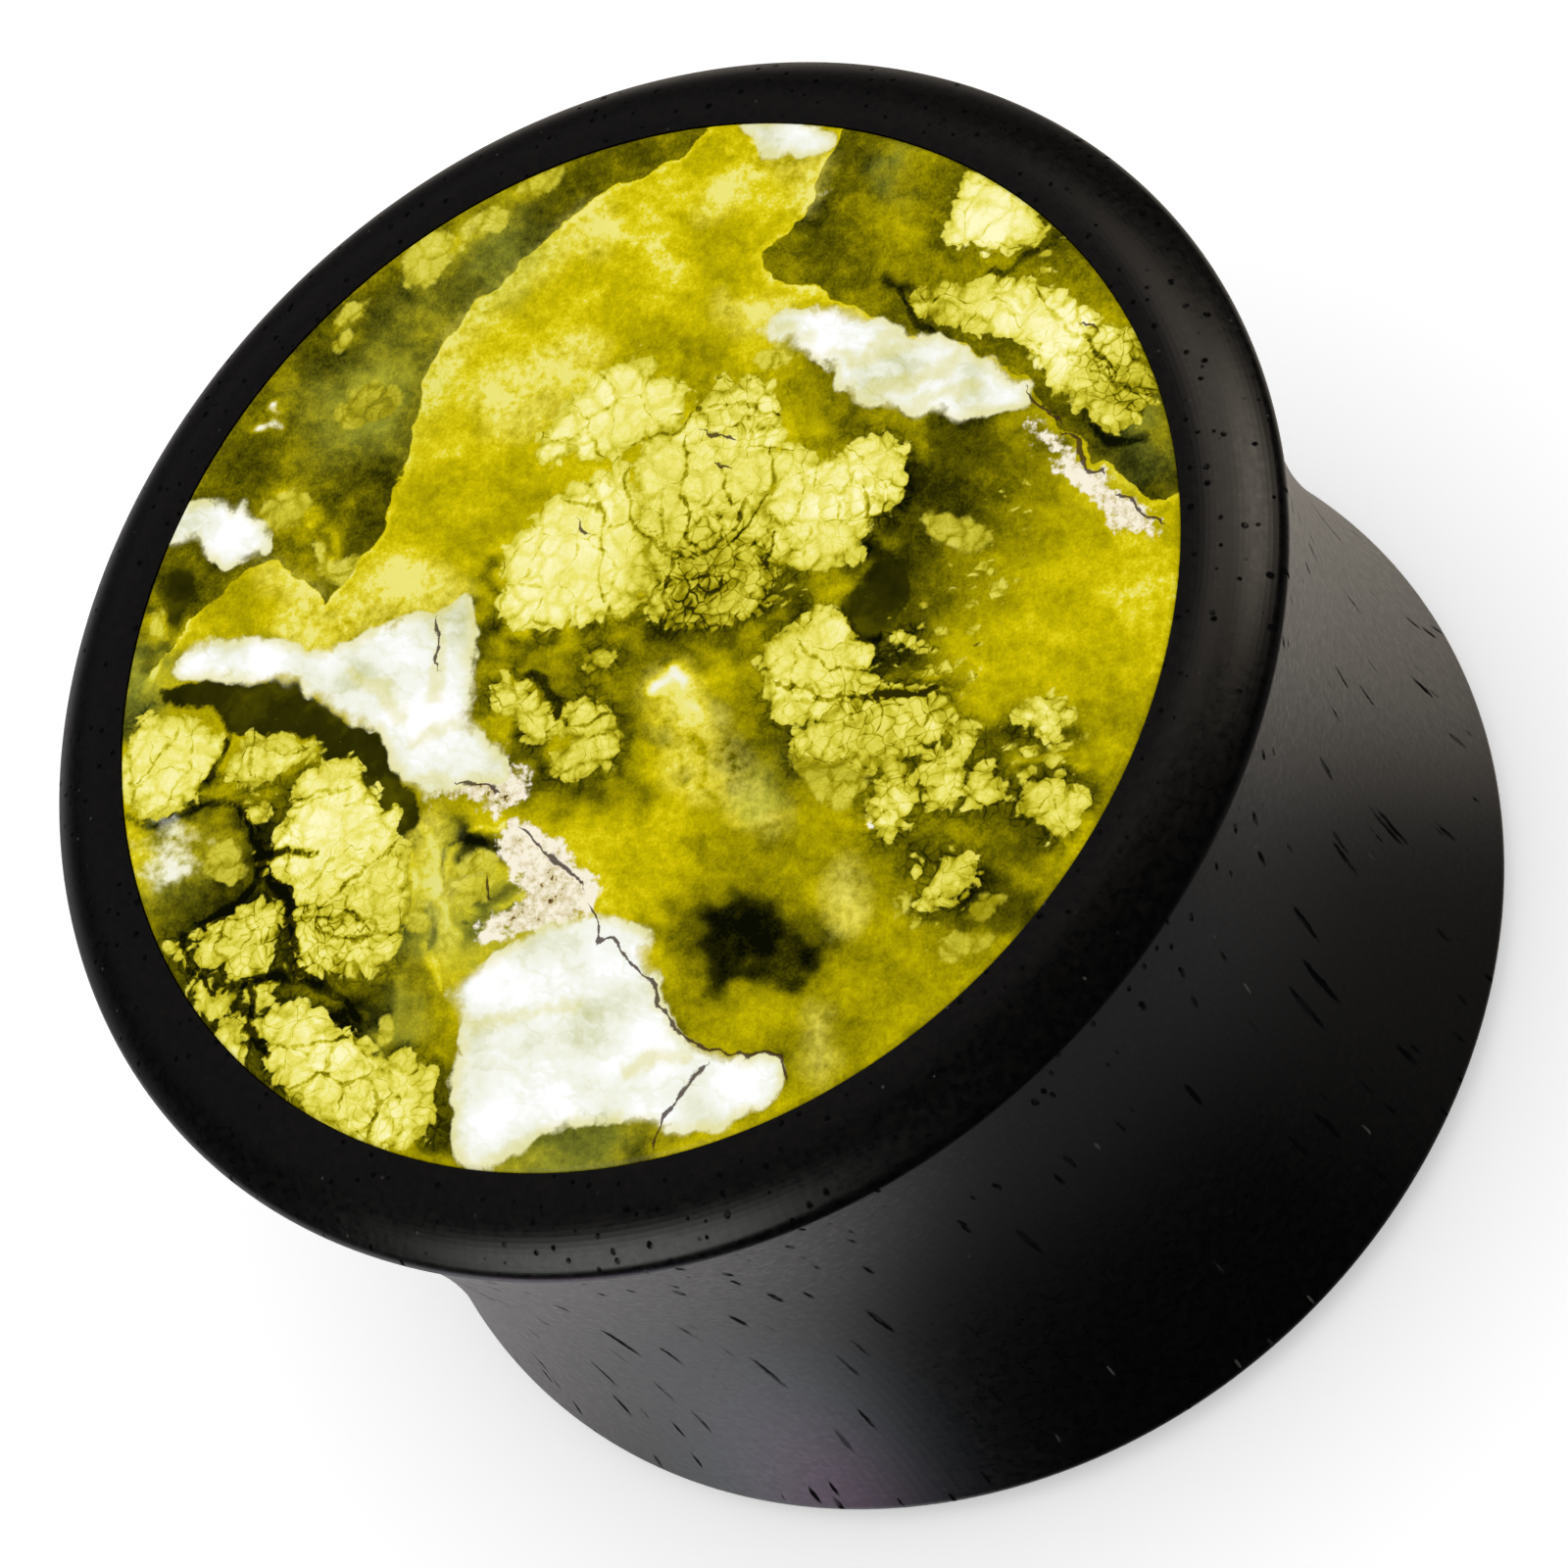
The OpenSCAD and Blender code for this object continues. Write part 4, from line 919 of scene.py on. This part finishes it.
    shader = add_node(tree, "ShaderNodeBsdfPrincipled", {}, {
        "Base Color": finished, "Roughness": 0.5, "Specular IOR Level": 0.0,
        "Coat Weight": 0.15, "Coat Roughness": 0.08})
    add_node(tree, "ShaderNodeOutputMaterial", {}, {"Surface": shader})
    return material


stone = turn_piece("polished_disc", stone_outline(), stone_segments, stone_material())
spots = np.empty(len(stone.data.vertices) * 3)
stone.data.vertices.foreach_get("co", spots)
spots = spots.reshape(-1, 3)[:, :2] / MM
torn = spots + drift(spots, wave=0.9, amount=0.035, seed=3) + drift(spots, wave=0.4, amount=0.02, seed=4)
billowed = spots + drift(spots, wave=1.8, amount=0.14, seed=1)
billowed = billowed + drift(spots, wave=0.6, amount=0.09, seed=2)

# A side changes sign across its line, so that a crack finer than the mesh stays whole. A gap
# doesn't, and it ends the crack where its line ends.
charts = {
    "fissure_side": side_of_lines(torn, FISSURES),
    "seam_side": side_of_lines(torn, SEAMS),
    "cleft_gap": np.abs(side_of_lines(torn, CLEFTS)),
    "fold_gap": np.abs(side_of_lines(torn, FOLDS)),
    "ribbon_gap": np.abs(side_of_lines(torn, RIBBONS)),
}
charts["fissure_gap"] = np.abs(charts["fissure_side"])
charts["seam_gap"] = np.abs(charts["seam_side"])
for name, patches in PATCH_CHARTS.items():
    charts[name] = depth_inside(torn, patches)
for name, (clouds, start) in CLOUD_CHARTS.items():
    charts[name] = clouded(billowed, clouds, start)
for name, values in charts.items():
    stone.data.attributes.new(name, "FLOAT", "POINT").data.foreach_set("value", values)
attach(stone, "root")
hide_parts("stone_inlay")

# Setting. The plug stands on its back face on a plain white floor, under soft studio light,
# and the camera looks down on the stone from the front right with its top leant to one side.

floor_half = 400 * MM
floor_white = (0.92, 0.92, 0.92, 1)
floor_glow = 0.26
room_white = (1, 1, 1, 1)
room_strength = 1.05


def floor_material():
    material = bpy.data.materials.new("white_floor")
    tree = new_tree(material)
    shader = add_node(tree, "ShaderNodeBsdfPrincipled", {}, {
        "Base Color": floor_white, "Roughness": 0.8,
        "Emission Color": room_white, "Emission Strength": floor_glow})
    add_node(tree, "ShaderNodeOutputMaterial", {}, {"Surface": shader})
    return material


floor_mesh = bpy.data.meshes.new("floor")
corners = [(x * floor_half, y * floor_half, 0.0) for x, y in ((-1, -1), (1, -1), (1, 1), (-1, 1))]
floor_mesh.from_pydata(corners, [], [(0, 1, 2, 3)])
floor_mesh.materials.append(floor_material())
floor = bpy.data.objects.new("floor", floor_mesh)
bpy.context.collection.objects.link(floor)
# The sheen of the wood comes from the lamps below alone, so glossy rays miss the floor.
floor.visible_glossy = False

camera_right = Vector((0.9142, 0.0, -0.4052))
camera_forward = Vector((-0.3598, 0.4601, -0.8117))
camera_place = Vector((41.53, -53.07, 101.21)) * MM
camera_up = camera_right.cross(camera_forward)
camera_data = bpy.data.cameras.new("camera")
camera_data.sensor_width = 36.0
camera_data.lens = 156.6
camera_data.clip_start = 1 * MM
camera = bpy.data.objects.new("camera", camera_data)
camera.matrix_world = Matrix.Translation(camera_place) @ Matrix(
    (camera_right, camera_up, -camera_forward)).transposed().to_4x4()
bpy.context.collection.objects.link(camera)
bpy.context.scene.camera = camera

# Soft lamps that the sheen of the wood shows: azimuth and elevation of each in degrees, the
# angles from its middle at which it is full and gone, its strength and its colour.
LAMPS = [
    (140, 50, 26, 44, 0.12, (1.0, 0.92, 0.92)),
    (115, -5, 20, 45, 0.05, (1.0, 0.92, 0.92)),
    (70, 52, 5, 20, 1.35, (1.0, 0.88, 0.74)),
    (40, 36, 5, 19, 3.1, (1.0, 0.88, 0.72)),
    (-121, 31, 4, 26, 2.7, (1.0, 1.0, 0.95)),
    (175, -43, 28, 46, 0.48, (1.0, 0.96, 0.98)),
    (-141, -44, 5, 20, 0.45, (0.72, 1.06, 1.10)),
    (-137, -42, 3, 12, 0.60, (1.0, 0.1, 0.7)),
    (92, -42, 18, 40, 0.52, (1.0, 0.90, 0.77)),
    (0, -90, 12, 34, 0.10, (1.0, 0.97, 0.97)),
    (20, -45, 10, 40, 0.08, (1.0, 0.94, 0.88)),
]
world = bpy.data.worlds.new("studio")
bpy.context.scene.world = world
tree = new_tree(world)
toward = add_node(tree, "ShaderNodeTexCoord", {}, {}, "Generated")
sheen = (0.0, 0.0, 0.0)
for azimuth, elevation, full, gone, strength, tint in LAMPS:
    turn, lift = math.radians(azimuth), math.radians(elevation)
    aim = (math.cos(turn) * math.cos(lift), math.sin(turn) * math.cos(lift), math.sin(lift))
    facing = add_node(tree, "ShaderNodeVectorMath", {"operation": "DOT_PRODUCT"},
                      {0: toward, 1: aim}, "Value")
    glow = facing.step(math.cos(math.radians(gone)), math.cos(math.radians(full)), 0.0, strength)
    sheen = add_node(tree, "ShaderNodeVectorMath", {"operation": "MULTIPLY_ADD"},
                     {0: glow, 1: tint, 2: sheen})
room = add_node(tree, "ShaderNodeBackground", {}, {"Color": room_white, "Strength": room_strength})
lit = add_node(tree, "ShaderNodeBackground", {}, {"Color": sheen, "Strength": 1.0})
mirrored = add_node(tree, "ShaderNodeLightPath", {}, {}, "Is Glossy Ray")
both = add_node(tree, "ShaderNodeMixShader", {}, {0: mirrored, 1: room, 2: lit})
add_node(tree, "ShaderNodeOutputWorld", {}, {"Surface": both})
world.cycles.sampling_method = "NONE"
bpy.context.scene.view_settings.view_transform = "Standard"
